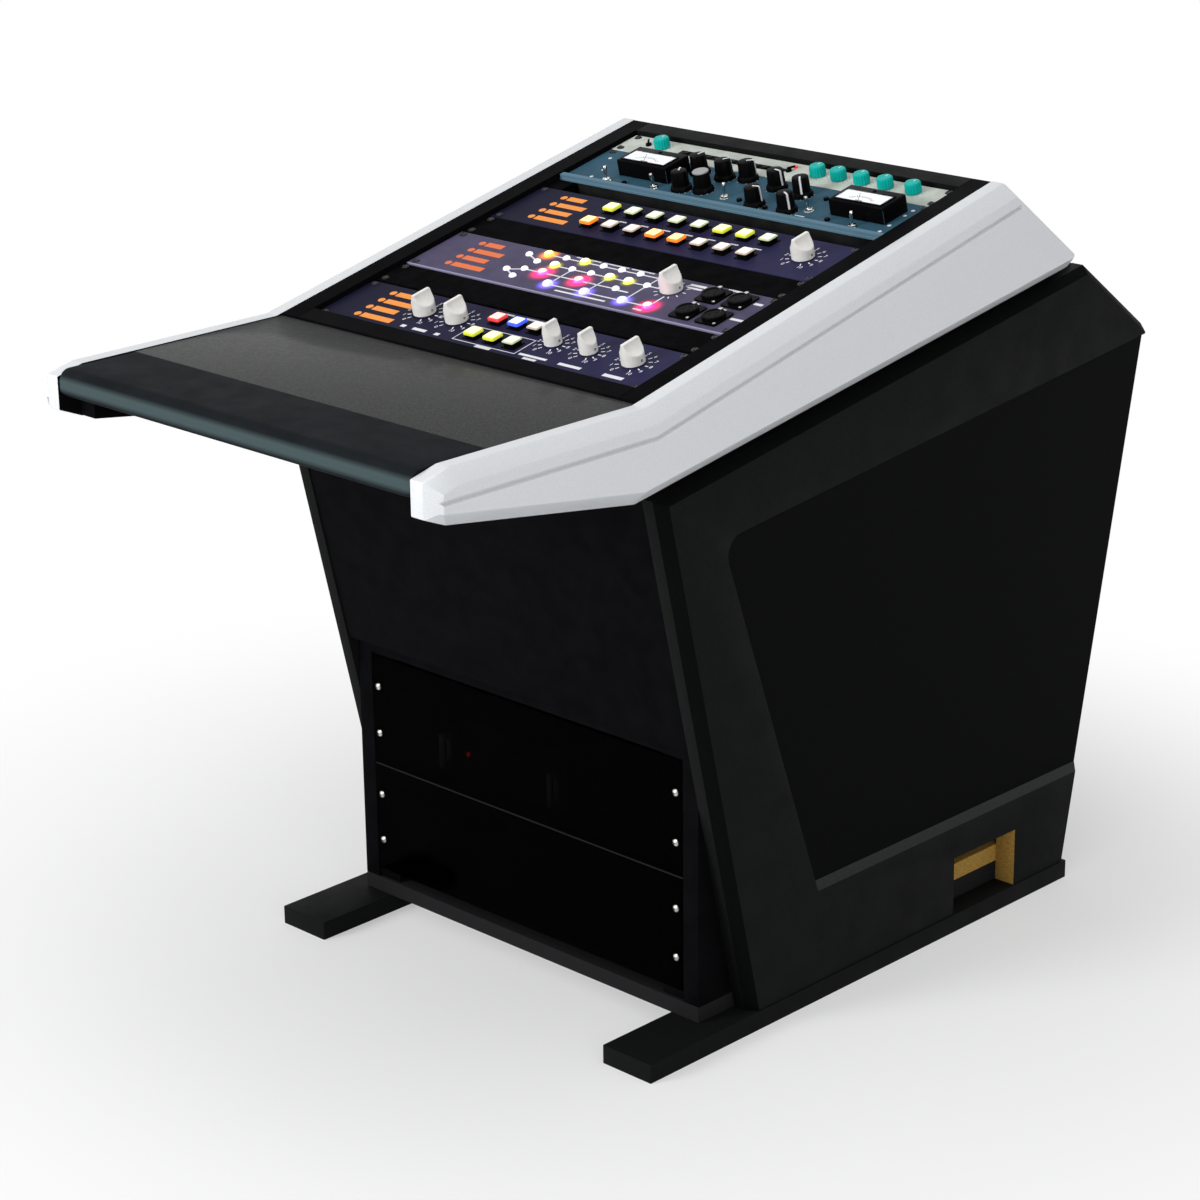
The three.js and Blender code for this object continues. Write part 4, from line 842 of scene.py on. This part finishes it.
class STUDIODESK_OT_ridge_knobs(bpy.types.Operator):
    """Shapes the off-white knobs: a round collar that is scooped to a finger ridge"""

    bl_idname = "studio_desk.ridge_knobs"
    bl_label = "Ridge knobs"

    def execute(self, context):
        for unit, shares in RIDGE_KNOB_SHARES.items():
            for number, share in enumerate(shares, 1):
                node = f"{unit}_knob_{number}"
                finish_piece(f"{node}_ridge", gathered(self.parts(knob_radius(node))),
                             ["off_white_plastic", "blackened_steel"], f"{node}_body",
                             unit_place(unit) @ at(*spot(unit, share)), stands_for=(node,),
                             sharp=38)
        return {"FINISHED"}

    def parts(self, radius):
        yield self.drum(radius)
        for side in (1, -1):
            screw = puck([(1.3, 0), (1.3, 0.35), (0.7, 0.35), (0.7, -0.2)], 12)
            yield screw, 1, at(side * (radius - 0.1), 0, 5.6) @ Matrix.Rotation(side * math.pi / 2, 4, "Y")

    def drum(self, radius):
        """A drum whose upper part is drawn in from both sides to the ridge, lifted off the panel."""
        height, collar, lift = 25.0, 11.0, 0.6
        half_ridge = sizes().knob_ridge / 2
        levels = [0.8, 4, 8, 10.2, 11.4]
        levels += [collar + (height - collar) * step / 14 for step in range(1, 14)] + [height - 0.5]
        profile = [(radius - 0.8, 0.0)] + [(radius, z) for z in levels]
        profile += [(radius - 0.5, height), (radius * 0.66, height), (radius * 0.33, height)]
        shape = puck(profile, sizes().knob_sides)
        for vert in shape.verts:
            if vert.co.z > collar:
                rise = (vert.co.z - collar) / (height - collar)
                width = half_ridge + (radius - half_ridge) * (1 - rise) ** 1.9
                if vert.co.z > height - 0.3:
                    width -= 0.4
                reach = math.hypot(vert.co.x, vert.co.y)
                if abs(vert.co.x) > width:
                    vert.co.x = math.copysign(width, vert.co.x)
                if reach > 0.1:
                    vert.co.y *= 1 - 0.05 * rise
        bmesh.ops.remove_doubles(shape, verts=shape.verts, dist=0.01)
        bmesh.ops.recalc_face_normals(shape, faces=shape.faces)
        bmesh.ops.translate(shape, vec=(0, 0, lift), verts=shape.verts)
        return shape


class STUDIODESK_OT_round_caps(bpy.types.Operator):
    """Shapes the teal caps of the pre-amplifier with their grip flutes and pointer lines"""

    bl_idname = "studio_desk.round_caps"
    bl_label = "Round caps"

    def execute(self, context):
        for number, share in enumerate(CAP_SHARES, 1):
            node = f"unit_5_knob_{number}"
            cap = puck([(8.8, 0.6), (9.5, 1.2), (9.4, 6), (9.2, 10.6), (8.9, 11.9), (8.0, 12.8), (6.4, 13.1),
                        (5.9, 12.7)], 72)
            flute(cap, 18, 0.32, 8.5)
            line = slab(-0.6, 0.6, 2.2, 7.6, 12.5, 12.95, 0.15)
            finish_piece(f"{node}_cap", gathered([cap, (line, 1)]), ["teal_plastic", "white_print"], f"{node}_body",
                         unit_place("unit_5") @ at(*spot("unit_5", share)), stands_for=(node,),
                         sharp=35)
        return {"FINISHED"}


class STUDIODESK_OT_buttons(bpy.types.Operator):
    """Shapes the lit push buttons and the black bezels round them"""

    bl_idname = "studio_desk.buttons"
    bl_label = "Buttons"

    def execute(self, context):
        for unit, (columns, rows) in BUTTON_SHARES.items():
            centres = []
            for row, y_share in rows.items():
                for number, x_share in enumerate(columns, 1):
                    node = f"{unit}_button_{row}_{number}"
                    tint = BUTTON_COLOURS[unit, row][number - 1]
                    centres.append(at(*spot(unit, (x_share, y_share))))
                    finish_piece(f"{node}_lens", self.button(5.6 if tint in {"pale", "cream"} else 4.4),
                                 [f"{tint}_lens", "black_plastic", f"{tint}_middle"], f"{node}_body",
                                 unit_place(unit) @ centres[-1], stands_for=(node,))
            on_panel(unit, "button_bezels", ((self.bezel(), 0, centre) for centre in centres), "black_plastic")
        return {"FINISHED"}

    def button(self, shade_under):
        """A stem with its lens and the lighter field over its lamp; its lower faces are black."""
        lens = slab(-8.5, 8.5, -8.5, 8.5, 4.3, 7.4)
        round_edges(lens, upright_edges(lens), 2.8, 5)
        round_edges(lens, edges_above(lens, 7.3), 1.3, 4)
        middle = slab(-6.8, 6.8, -6.8, 6.8, 7.0, 7.52)
        round_edges(middle, upright_edges(middle, 0.3), 1.8, 4)
        stem, flange = slab(-6.7, 6.7, -6.7, 6.7, -9.2, 4.8, 0.6), slab(-8.7, 8.7, -8.7, 8.7, -5.7, -3.4)
        shape = gathered([(stem, 1), (flange, 1), (lens, 0), (middle, 2)])
        for face in shape.faces:
            if face.calc_center_median().z < shade_under:
                face.material_index = 1
        return shape

    def bezel(self):
        """A thin square frame that lies on the panel round the button's hole."""
        shape = bmesh.new()
        bmesh.ops.create_grid(shape, x_segments=1, y_segments=1, size=9.1)
        ring = bmesh.ops.inset_region(shape, faces=shape.faces[:], thickness=1.7, use_boundary=True,
                                      use_even_offset=True)["faces"]
        bmesh.ops.delete(shape, geom=[face for face in shape.faces if face not in ring], context="FACES")
        pushed = bmesh.ops.extrude_face_region(shape, geom=shape.faces[:])
        moved = [item for item in pushed["geom"] if isinstance(item, bmesh.types.BMVert)]
        bmesh.ops.translate(shape, vec=(0, 0, 1.1), verts=moved)
        bmesh.ops.recalc_face_normals(shape, faces=shape.faces)
        round_edges(shape, edges_above(shape, 1.05), 0.35, 2)
        return shape


class STUDIODESK_OT_matrix(bpy.types.Operator):
    """Adds the matrix unit's lamps, its printed lines and its round sockets"""

    bl_idname = "studio_desk.matrix"
    bl_label = "Matrix unit"

    def execute(self, context):
        radius = sizes().lamp_diameter / 2
        for tint, places in LAMPS.items():
            shape = gathered((self.lamp(radius), 0, at(*place)) for place in places)
            for face in shape.faces:
                face.material_index = int(face.calc_center_median().z > radius * 0.46)
            finish_piece(f"unit_2_{tint}_lamps", shape, [f"{tint}_lamp", f"{tint}_core"],
                         place=unit_place("unit_2"))
        on_panel("unit_2", "white_lamps", ((self.lamp(radius * 0.72), 0, at(*place)) for place in PALE_LAMPS),
                 "white_lamp")
        on_panel("unit_2", "matrix_lines", (bar(*line, 1.9) for line in MATRIX_LINES), "white_print")
        on_panel("unit_2", "sockets", (part for centre in SOCKET_PLACES for part in self.socket(at(*centre))),
                 "black_plastic", "polished_nickel", "dark_slot")
        return {"FINISHED"}

    def socket(self, place):
        """A square flange with a round body, three contacts shown as dark discs of painted shade, a key and two
        screws at opposite corners.
        """
        flange = slab(-14.5, 14.5, -16, 16, 0, 2.2)
        round_edges(flange, upright_edges(flange), 2.4, 4)
        yield flange, 0, place
        yield turned([(12.9, 1.8), (12.9, 5.2), (12.3, 6.0), (10.4, 6.2), (9.6, 5.3), (0, 5.3)], 40), 0, place
        for ray in rays(90, 120, 3):
            yield puck([(1.5, 5.2), (1.5, 5.6)], 12), 2, place @ at(*(ray * 4.6))
        yield slab(-2.2, 2.2, 9.6, 13.6, 5.0, 6.8, 0.4), 1, place
        for x, y in ((-11.4, 12.8), (11.4, -12.8)):
            yield puck([(2.0, 2.1), (1.8, 3.0), (1.0, 3.3)], 14), 1, place @ at(x, y)

    def lamp(self, radius):
        """A domed lens."""
        foot, rise = radius * 0.12, radius * 0.68
        angles = [step * math.pi / 16 for step in range(8)]
        arc = [(radius * math.cos(angle), foot + rise * math.sin(angle)) for angle in angles]
        return turned([(radius, -0.2), *arc, (0, foot + rise)], 24)


class STUDIODESK_OT_meter_unit(bpy.types.Operator):
    """Adds the meter unit's meters, pointer knobs, toggles and small fittings"""

    bl_idname = "studio_desk.meter_unit"
    bl_label = "Meter unit"

    def execute(self, context):
        unit = "unit_4"
        for number, share in enumerate(METER_SHARES, 1):
            finish_piece(f"unit_4_meter_{number}", gathered(self.meter()),
                         ["black_plastic", "meter_dial", "black_print", "red_print", "meter_window"],
                         place=unit_place(unit) @ at(*spot(unit, share)), sharp=30)
        knobs, toggles, dots = [], [], []
        for number, share in enumerate(POINTER_SHARES):
            centre = spot(unit, share)
            knobs += self.pointer_knob(at(*centre) @ Matrix.Rotation(0.5 - 0.37 * number, 4, "Z"), number == 1)
            dots += [dot(*(centre.xy + ray * 12.8), 0.65, 8) for ray in rays(-60, 30)
                     if 10 < centre.y + ray.y * 14 < 86]
        for number, share in enumerate(TOGGLE_SHARES):
            toggles += self.toggle(at(*spot(unit, share)), 0.12 if number % 2 else -0.1)
        on_panel(unit, "pointer_knobs", knobs, "black_plastic", "white_print", "grey_plastic", sharp=30)
        on_panel(unit, "toggles", toggles, "polished_nickel", "black_plastic", sharp=30)
        dots += [dot(x, y, 2.3) for x, y in (
            (225, 16), (225, 32), (225, 59), (225, 73), (-205, 16), (-205, 36), (-222, 66))]
        labels = [bar((x - width / 2, y), (x + width / 2, y), 1.4) for x, y, width in (
            (-160, 12, 8), (-120, 12, 10), (-92, 44, 10), (18, 46, 12), (62, 44, 10), (112, 16, 12), (150, 13, 9))]
        on_panel(unit, "marks", dots + labels, "white_print")
        on_panel(unit, "fittings", (
            (puck([(3.2, 0), (3.2, 2.6), (2.5, 3.2)], 20), 0, at(x, y))
            for x, y in ((-150, 13), (8, 60), (60, 18), (17, 24), (112, 62), (150, 18), (126, 76))
        ), "black_plastic")
        return {"FINISHED"}

    def meter(self):
        """A black housing with a window in its top, a pale dial, a scale that ends in red, and a needle."""
        wall = 0.35
        window = (-31.5, 31.5, -15.5, 7.0)
        left, right, foot, head = window
        yield slab(-38 - wall, 38 + wall, -20 - wall, 20 + wall, 0.02, 20 + wall, 1.6, 3)
        for sides in (
            (-34, 34, head, 9.4), (-34, 34, -17.8, foot), (-34, left, foot, head), (right, 34, foot, head),
        ):
            yield slab(*sides, 20.2, 21.6, 0.5)
        yield slab(*window, 20.2, 20.6), 1
        pivot = Vector((0, -19.0))
        fan = [Vector((ray.x, ray.y * 0.78)) for ray in rays(142, -104 / 12, 13)]
        for step, ray in enumerate(fan):
            inner, outer = (18.6, 22.6) if step % 3 == 0 else (19.4, 21.6)
            yield bar(pivot + ray * inner, pivot + ray * outer, 0.55, 20.5, 20.72), 3 if step > 8 else 2
        for step, (ray, following) in enumerate(zip(fan, fan[1:])):
            yield bar(pivot + ray * 18.6, pivot + following * 18.6, 0.5, 20.5, 20.7), 3 if step > 8 else 2
        yield bar((0, -15.0), (-11.5, 3.4), 0.5, 20.75, 20.95), 2
        yield slab(-5, 5, foot, -13.0, 20.6, 21.0, 0.15)
        yield slab(*window, 21.15, 21.4), 4
        yield puck([(2.2, 20.3), (2.1, 21.2), (1.2, 21.5)], 16), 0, at(0, 14)

    def pointer_knob(self, place, grey_top):
        """A skirted knob with grip flutes and a white pointer line."""
        drum = puck([(12.8, 0), (12.8, 1.2), (11.6, 4.6), (10.8, 5.2), (10.3, 6.0), (9.5, 21.4), (8.9, 22.6),
                     (7.4, 23.0)], 48)
        flute(drum, 12, 0.22, 7.0, 5.8)
        yield drum, 0, place
        yield slab(-1.0, 1.0, 0.8, 9.2, 22.6, 23.3, 0.15), 1, place
        line = slab(-1.1, 1.1, -0.25, 0.5, 0, 17.0)
        yield line, 1, place @ at(0, 10.25, 5.6) @ Matrix.Rotation(math.radians(3.0), 4, "X")
        if grey_top:
            yield puck([(9.4, 22.8), (9.4, 23.9), (8.7, 24.5)], 32), 2, place

    def toggle(self, place, lean):
        """A bat lever in a hexagon nut."""
        yield puck([(4.7, 0), (4.7, 3.05), (4.3, 3.35), (2.2, 3.35)], 6), 0, place
        yield puck([(5.6, 0), (5.6, 0.5)], 24), 0, place
        bat = turned([(0, 2.6), (1.45, 2.6), (1.5, 5), (1.9, 13), (2.2, 16.6), (1.7, 17.9), (0, 18.3)], 14)
        yield bat, 0, place @ Matrix.Rotation(lean, 4, "X")


class STUDIODESK_OT_preamp(bpy.types.Operator):
    """Adds the pre-amplifier's dark strip, its two small levers and its red lamp"""

    bl_idname = "studio_desk.preamp"
    bl_label = "Pre-amplifier"

    def execute(self, context):
        unit = "unit_5"
        ribs = [slab(x, x + 8.8, 17.5, 23.5, 0.6, 1.5, 0.25) for x in (-144 + step * 12.2 for step in range(13))]
        on_panel(unit, "strip", [slab(-150, 10, 15.5, 25.5, 0.0, 0.7, 0.2), *ribs], "black_plastic")
        levers = []
        for x, y, turn in ((-203, 24, 0.7), (15.5, 22, -0.5)):
            place = at(x, y) @ Matrix.Rotation(turn, 4, "Z")
            levers.append((puck([(3.6, 0), (3.6, 2.4), (3.0, 2.9)], 20), 0, place))
            levers.append((slab(-1.1, 1.1, -1.6, 8.4, 2.6, 5.2, 0.7), 0, place))
        on_panel(unit, "levers", levers, "black_plastic")
        lamp = turned([(2.4, -0.1), (2.4, 1.2), (1.9, 2.3), (1.0, 2.9), (0, 3.1)], 20)
        on_panel(unit, "red_lamp", [(lamp, 0, at(17, 33))], "red_lamp")
        centres = [spot(unit, share).xy for share in CAP_SHARES]
        dots = (dot(*(centre + ray * 12.4), 0.55, 8) for centre in centres for ray in rays(-60, 30))
        on_panel(unit, "marks", dots, "black_print")
        return {"FINISHED"}


class STUDIODESK_OT_marks(bpy.types.Operator):
    """Prints the ticks and numbers round the knobs, and the plain bars where labels would be"""

    bl_idname = "studio_desk.marks"
    bl_label = "Printed marks"

    def execute(self, context):
        for unit, shares in RIDGE_KNOB_SHARES.items():
            marks = []
            for number, share in enumerate(shares, 1):
                radius = knob_radius(f"{unit}_knob_{number}")
                marks += self.dial(spot(unit, share).xy, radius + 3.6, unit != "unit_2")
            on_panel(unit, "marks", marks + [bar(*label) for label in LABEL_BARS[unit]], "white_print")
        return {"FINISHED"}

    def dial(self, centre, reach, numbered):
        """Eleven ticks over 300 degrees with the numbers nought to ten outside them."""
        end = reach + sizes().tick_length
        for number, ray in enumerate(rays(240, -30)):
            yield bar(centre + ray * reach, centre + ray * end, 1.3)
            if numbered:
                yield written(str(number), sizes().number_height, *(centre + ray * (end + 4.4)))


class STUDIODESK_OT_badges(bpy.types.Operator):
    """Prints a plain level-bar badge at the left of three units"""

    bl_idname = "studio_desk.badges"
    bl_label = "Badges"

    def execute(self, context):
        for unit, finish in (("unit_1", "badge_amber"), ("unit_2", "badge_orange"), ("unit_3", "badge_amber")):
            parts = []
            for y, length in ((18, 38), (36, 27), (54, 33), (72, 17)):
                parts += [bar((-180, y), (-180 + length, y), 9.4), dot(-191.5, y, 4.4, 20)]
            on_panel(unit, "badge", parts, finish)
        return {"FINISHED"}


class STUDIODESK_OT_screws(bpy.types.Operator):
    """Puts screws with washers in the rack slots and in the back panel"""

    bl_idname = "studio_desk.screws"
    bl_label = "Screws"

    def execute(self, context):
        for unit, height in UNIT_HEIGHT.items():
            screws = []
            for x in (-SLOT_X, SLOT_X):
                for y in (SLOT_INSET, height - SLOT_INSET):
                    screws += self.screw(at(x, y), sizes().screw_head, 0.3 * x + y)
            on_panel(unit, "screws", screws, "blackened_steel", "dark_slot", sharp=30)
        lower = []
        for x in (-SLOT_X, SLOT_X):
            for z in (90.0, 147.15, 223.35, 280.5):
                lower += self.screw(at(x, -174, z) @ Matrix.Rotation(math.pi / 2, 4, "X"), 7.6, x + z)
        finish_piece("lower_rack_screws", gathered(lower), ["polished_nickel", "dark_slot"], sharp=30)
        back, lean = [], math.radians(11.4)
        for x in (-250, 250):
            for up in (24, 170, 316, 462, 608):
                place = at(x, 438.0 + up * math.sin(lean), 22.3 + up * math.cos(lean))
                back += self.screw(place @ Matrix.Rotation(-math.pi / 2 - lean, 4, "X"), 11.0, x + up)
        finish_piece("rear_panel_screws", gathered(back), ["blackened_steel", "dark_slot"], sharp=30)
        return {"FINISHED"}

    def screw(self, place, head, turn):
        """An oval head on a thin washer, its cross recess shown as a raised dark cross of painted shade."""
        half = head / 2
        yield puck([(half, 0), (half, 0.5), (half * 0.92, 0.7)], 24), 0, place
        yield turned([(0, 0.6), (half * 0.74, 0.6), (half * 0.70, 1.5), (half * 0.5, 2.1), (0, 2.4)], 24), 0, place
        for quarter in (0, 1):
            cross = slab(-half * 0.36, half * 0.36, -0.42, 0.42, 1.6, 2.46)
            yield cross, 1, place @ Matrix.Rotation(turn + quarter * math.pi / 2, 4, "Z")


class STUDIODESK_OT_lower_rack(bpy.types.Operator):
    """Adds what shows through the smoked panels: the power supply's front and its red lamp"""

    bl_idname = "studio_desk.lower_rack"
    bl_label = "Lower rack"

    def execute(self, context):
        front = at(0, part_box("power_supply")[0].y / MM) @ Matrix.Rotation(math.pi / 2, 4, "X")
        # The vent slots are raised dark bars of painted shade.
        parts = [(slab(x, x + 4, 200, 250, 0, 1.2, 0.5), 1, front) for x in range(-40, 32, 8)]
        for x in (-136, 36):
            for span in (
                (205, 246, 0, 2.2, 1.0), (205, 213, 2, 12, 2.0), (238, 246, 2, 12, 2.0), (205, 246, 10, 14, 1.6),
            ):
                parts.append((slab(x - 4, x + 4, *span), 0, front))
        finish_piece("power_supply_front", gathered(parts), ["polished_nickel", "dark_slot"])
        lamp = turned([(2.6, 0), (2.6, 1.4), (2.0, 2.6), (1.0, 3.2), (0, 3.4)], 20)
        finish_piece("power_supply_lamp", gathered([(lamp, 0, front @ at(-105, 226))]), ["red_lamp"])
        return {"FINISHED"}


class STUDIODESK_OT_stage(bpy.types.Operator):
    """Sets the camera, the soft lamps, the world and the pale floor"""

    bl_idname = "studio_desk.stage"
    bl_label = "Camera and studio"

    def execute(self, context):
        scene = context.scene
        scene.view_settings.view_transform = "Standard"
        lens = bpy.data.cameras.new("desk_camera")
        lens.lens = sizes().lens
        lens.sensor_width = 36
        lens.sensor_fit = "HORIZONTAL"
        lens.clip_start, lens.clip_end = 0.05, 200
        scene.camera = self.add("desk_camera", lens)
        scene.camera.matrix_world = (
            Matrix.Translation(CAMERA_PLACE) @ Matrix.Rotation(CAMERA_YAW, 4, "Z")
            @ Matrix.Rotation(math.pi / 2 + CAMERA_PITCH, 4, "X") @ Matrix.Rotation(CAMERA_ROLL, 4, "Z"))
        self.lamps()
        self.world()
        shape = bmesh.new()
        bmesh.ops.create_grid(shape, x_segments=1, y_segments=1, size=40)
        mesh = bpy.data.meshes.new("studio_floor")
        shape.to_mesh(mesh)
        shape.free()
        mesh.materials.append(self.floor_finish())
        ground = self.add("studio_floor", mesh)
        return {"FINISHED"}

    def add(self, name, data):
        made = bpy.data.objects.new(name, data)
        bpy.context.scene.collection.objects.link(made)
        return made

    def lamps(self):
        """One large soft lamp in front at the left, one above, and a weak one at the right."""
        for name, place, target, size, power in (
            ("front_softbox", (-1.3, -4.2, 1.9), (0, -0.1, 0.5), 1.8, 130),
            ("top_softbox", (0.4, -0.6, 3.8), (0, 0, 0.5), 2.6, 32),
            ("side_softbox", (3.3, -1.9, 1.3), (0, -0.2, 0.6), 2.0, 26),
        ):
            light = bpy.data.lights.new(name, "AREA")
            light.shape = "DISK"
            light.size = size
            light.energy = power
            aim = (Vector(target) - Vector(place)).to_track_quat("-Z", "Y").to_matrix().to_4x4()
            self.add(name, light).matrix_world = at(*place) @ aim

    def seen(self, owner):
        """One where the camera, gloss or glass sees a surface, nought for other light."""
        path = add_node(owner, "ShaderNodeLightPath")
        share = path.outputs["Is Camera Ray"]
        for kind in ("Is Glossy Ray", "Is Transmission Ray"):
            share = maths(owner, "MAXIMUM", share, path.outputs[kind])
        return share

    def world(self):
        """A plain light that is white where it is seen, and weaker where it lights the desk."""
        world = bpy.data.worlds.new("studio_light")
        bpy.context.scene.world = world
        world.use_nodes = True
        background = world.node_tree.nodes["Background"]
        background.inputs["Color"].default_value = (1, 1, 1, 1)
        world.node_tree.links.new(spread(world, self.seen(world), 0, 1, 0.42, 1.0), background.inputs["Strength"])

    def floor_finish(self):
        """Pale floor that keeps the shadow near the desk and fades to plain white away from it."""
        finish = new_finish("studio_floor_paint", (0.92, 0.92, 0.925), 0.9, Specular_IOR_Level=0.1)
        away = vector_maths(finish, "LENGTH", own_coordinates(finish), output="Value")
        far = spread(finish, away, 0.5, 1.25, 0.4, interpolation_type="SMOOTHSTEP")
        share = maths(finish, "MULTIPLY", far, self.seen(finish))
        white = add_node(finish, "ShaderNodeEmission", {"Color": (1, 1, 1, 1), "Strength": 1.0})
        mix = add_node(finish, "ShaderNodeMixShader", {
            0: share, 1: surface(finish).outputs[0], 2: white.outputs[0]})
        finish.node_tree.links.new(mix.outputs[0], finish.node_tree.nodes["Material Output"].inputs["Surface"])
        return finish


class STUDIODESK_PT_panel(bpy.types.Panel):
    """Lists the desk's sizes, colours and pieces"""

    bl_idname = "STUDIODESK_PT_panel"
    bl_label = "Studio Desk"
    bl_space_type = "VIEW_3D"
    bl_region_type = "UI"
    bl_category = "Studio Desk"

    def draw(self, context):
        layout = self.layout
        for group in (context.scene.studio_desk_sizes, context.scene.studio_desk_colours):
            box = layout.box()
            for key in group.bl_rna.properties.keys():
                if key not in {"rna_type", "name"}:
                    box.prop(group, key)
        for operator in OPERATORS:
            layout.operator(operator.bl_idname)


OPERATORS = (
    STUDIODESK_OT_stage, STUDIODESK_OT_boards, STUDIODESK_OT_armrest, STUDIODESK_OT_rack_panels,
    STUDIODESK_OT_ridge_knobs, STUDIODESK_OT_round_caps, STUDIODESK_OT_buttons, STUDIODESK_OT_matrix,
    STUDIODESK_OT_meter_unit, STUDIODESK_OT_preamp, STUDIODESK_OT_marks, STUDIODESK_OT_badges,
    STUDIODESK_OT_screws, STUDIODESK_OT_lower_rack,
)
CLASSES = (StudioDeskSizes, StudioDeskColours, *OPERATORS, STUDIODESK_PT_panel)


def register():
    for item in CLASSES:
        bpy.utils.register_class(item)
    bpy.types.Scene.studio_desk_sizes = PointerProperty(type=StudioDeskSizes)
    bpy.types.Scene.studio_desk_colours = PointerProperty(type=StudioDeskColours)


def unregister():
    del bpy.types.Scene.studio_desk_colours
    del bpy.types.Scene.studio_desk_sizes
    for item in reversed(CLASSES):
        bpy.utils.unregister_class(item)


def main():
    """Builds every piece in order."""
    register()
    bpy.ops.studio_desk.stage()
    bpy.ops.studio_desk.boards()
    bpy.ops.studio_desk.armrest()
    bpy.ops.studio_desk.rack_panels()
    bpy.ops.studio_desk.ridge_knobs()
    bpy.ops.studio_desk.round_caps()
    bpy.ops.studio_desk.buttons()
    bpy.ops.studio_desk.matrix()
    bpy.ops.studio_desk.meter_unit()
    bpy.ops.studio_desk.preamp()
    bpy.ops.studio_desk.marks()
    bpy.ops.studio_desk.badges()
    bpy.ops.studio_desk.screws()
    bpy.ops.studio_desk.lower_rack()


if __name__ == "__main__":
    main()
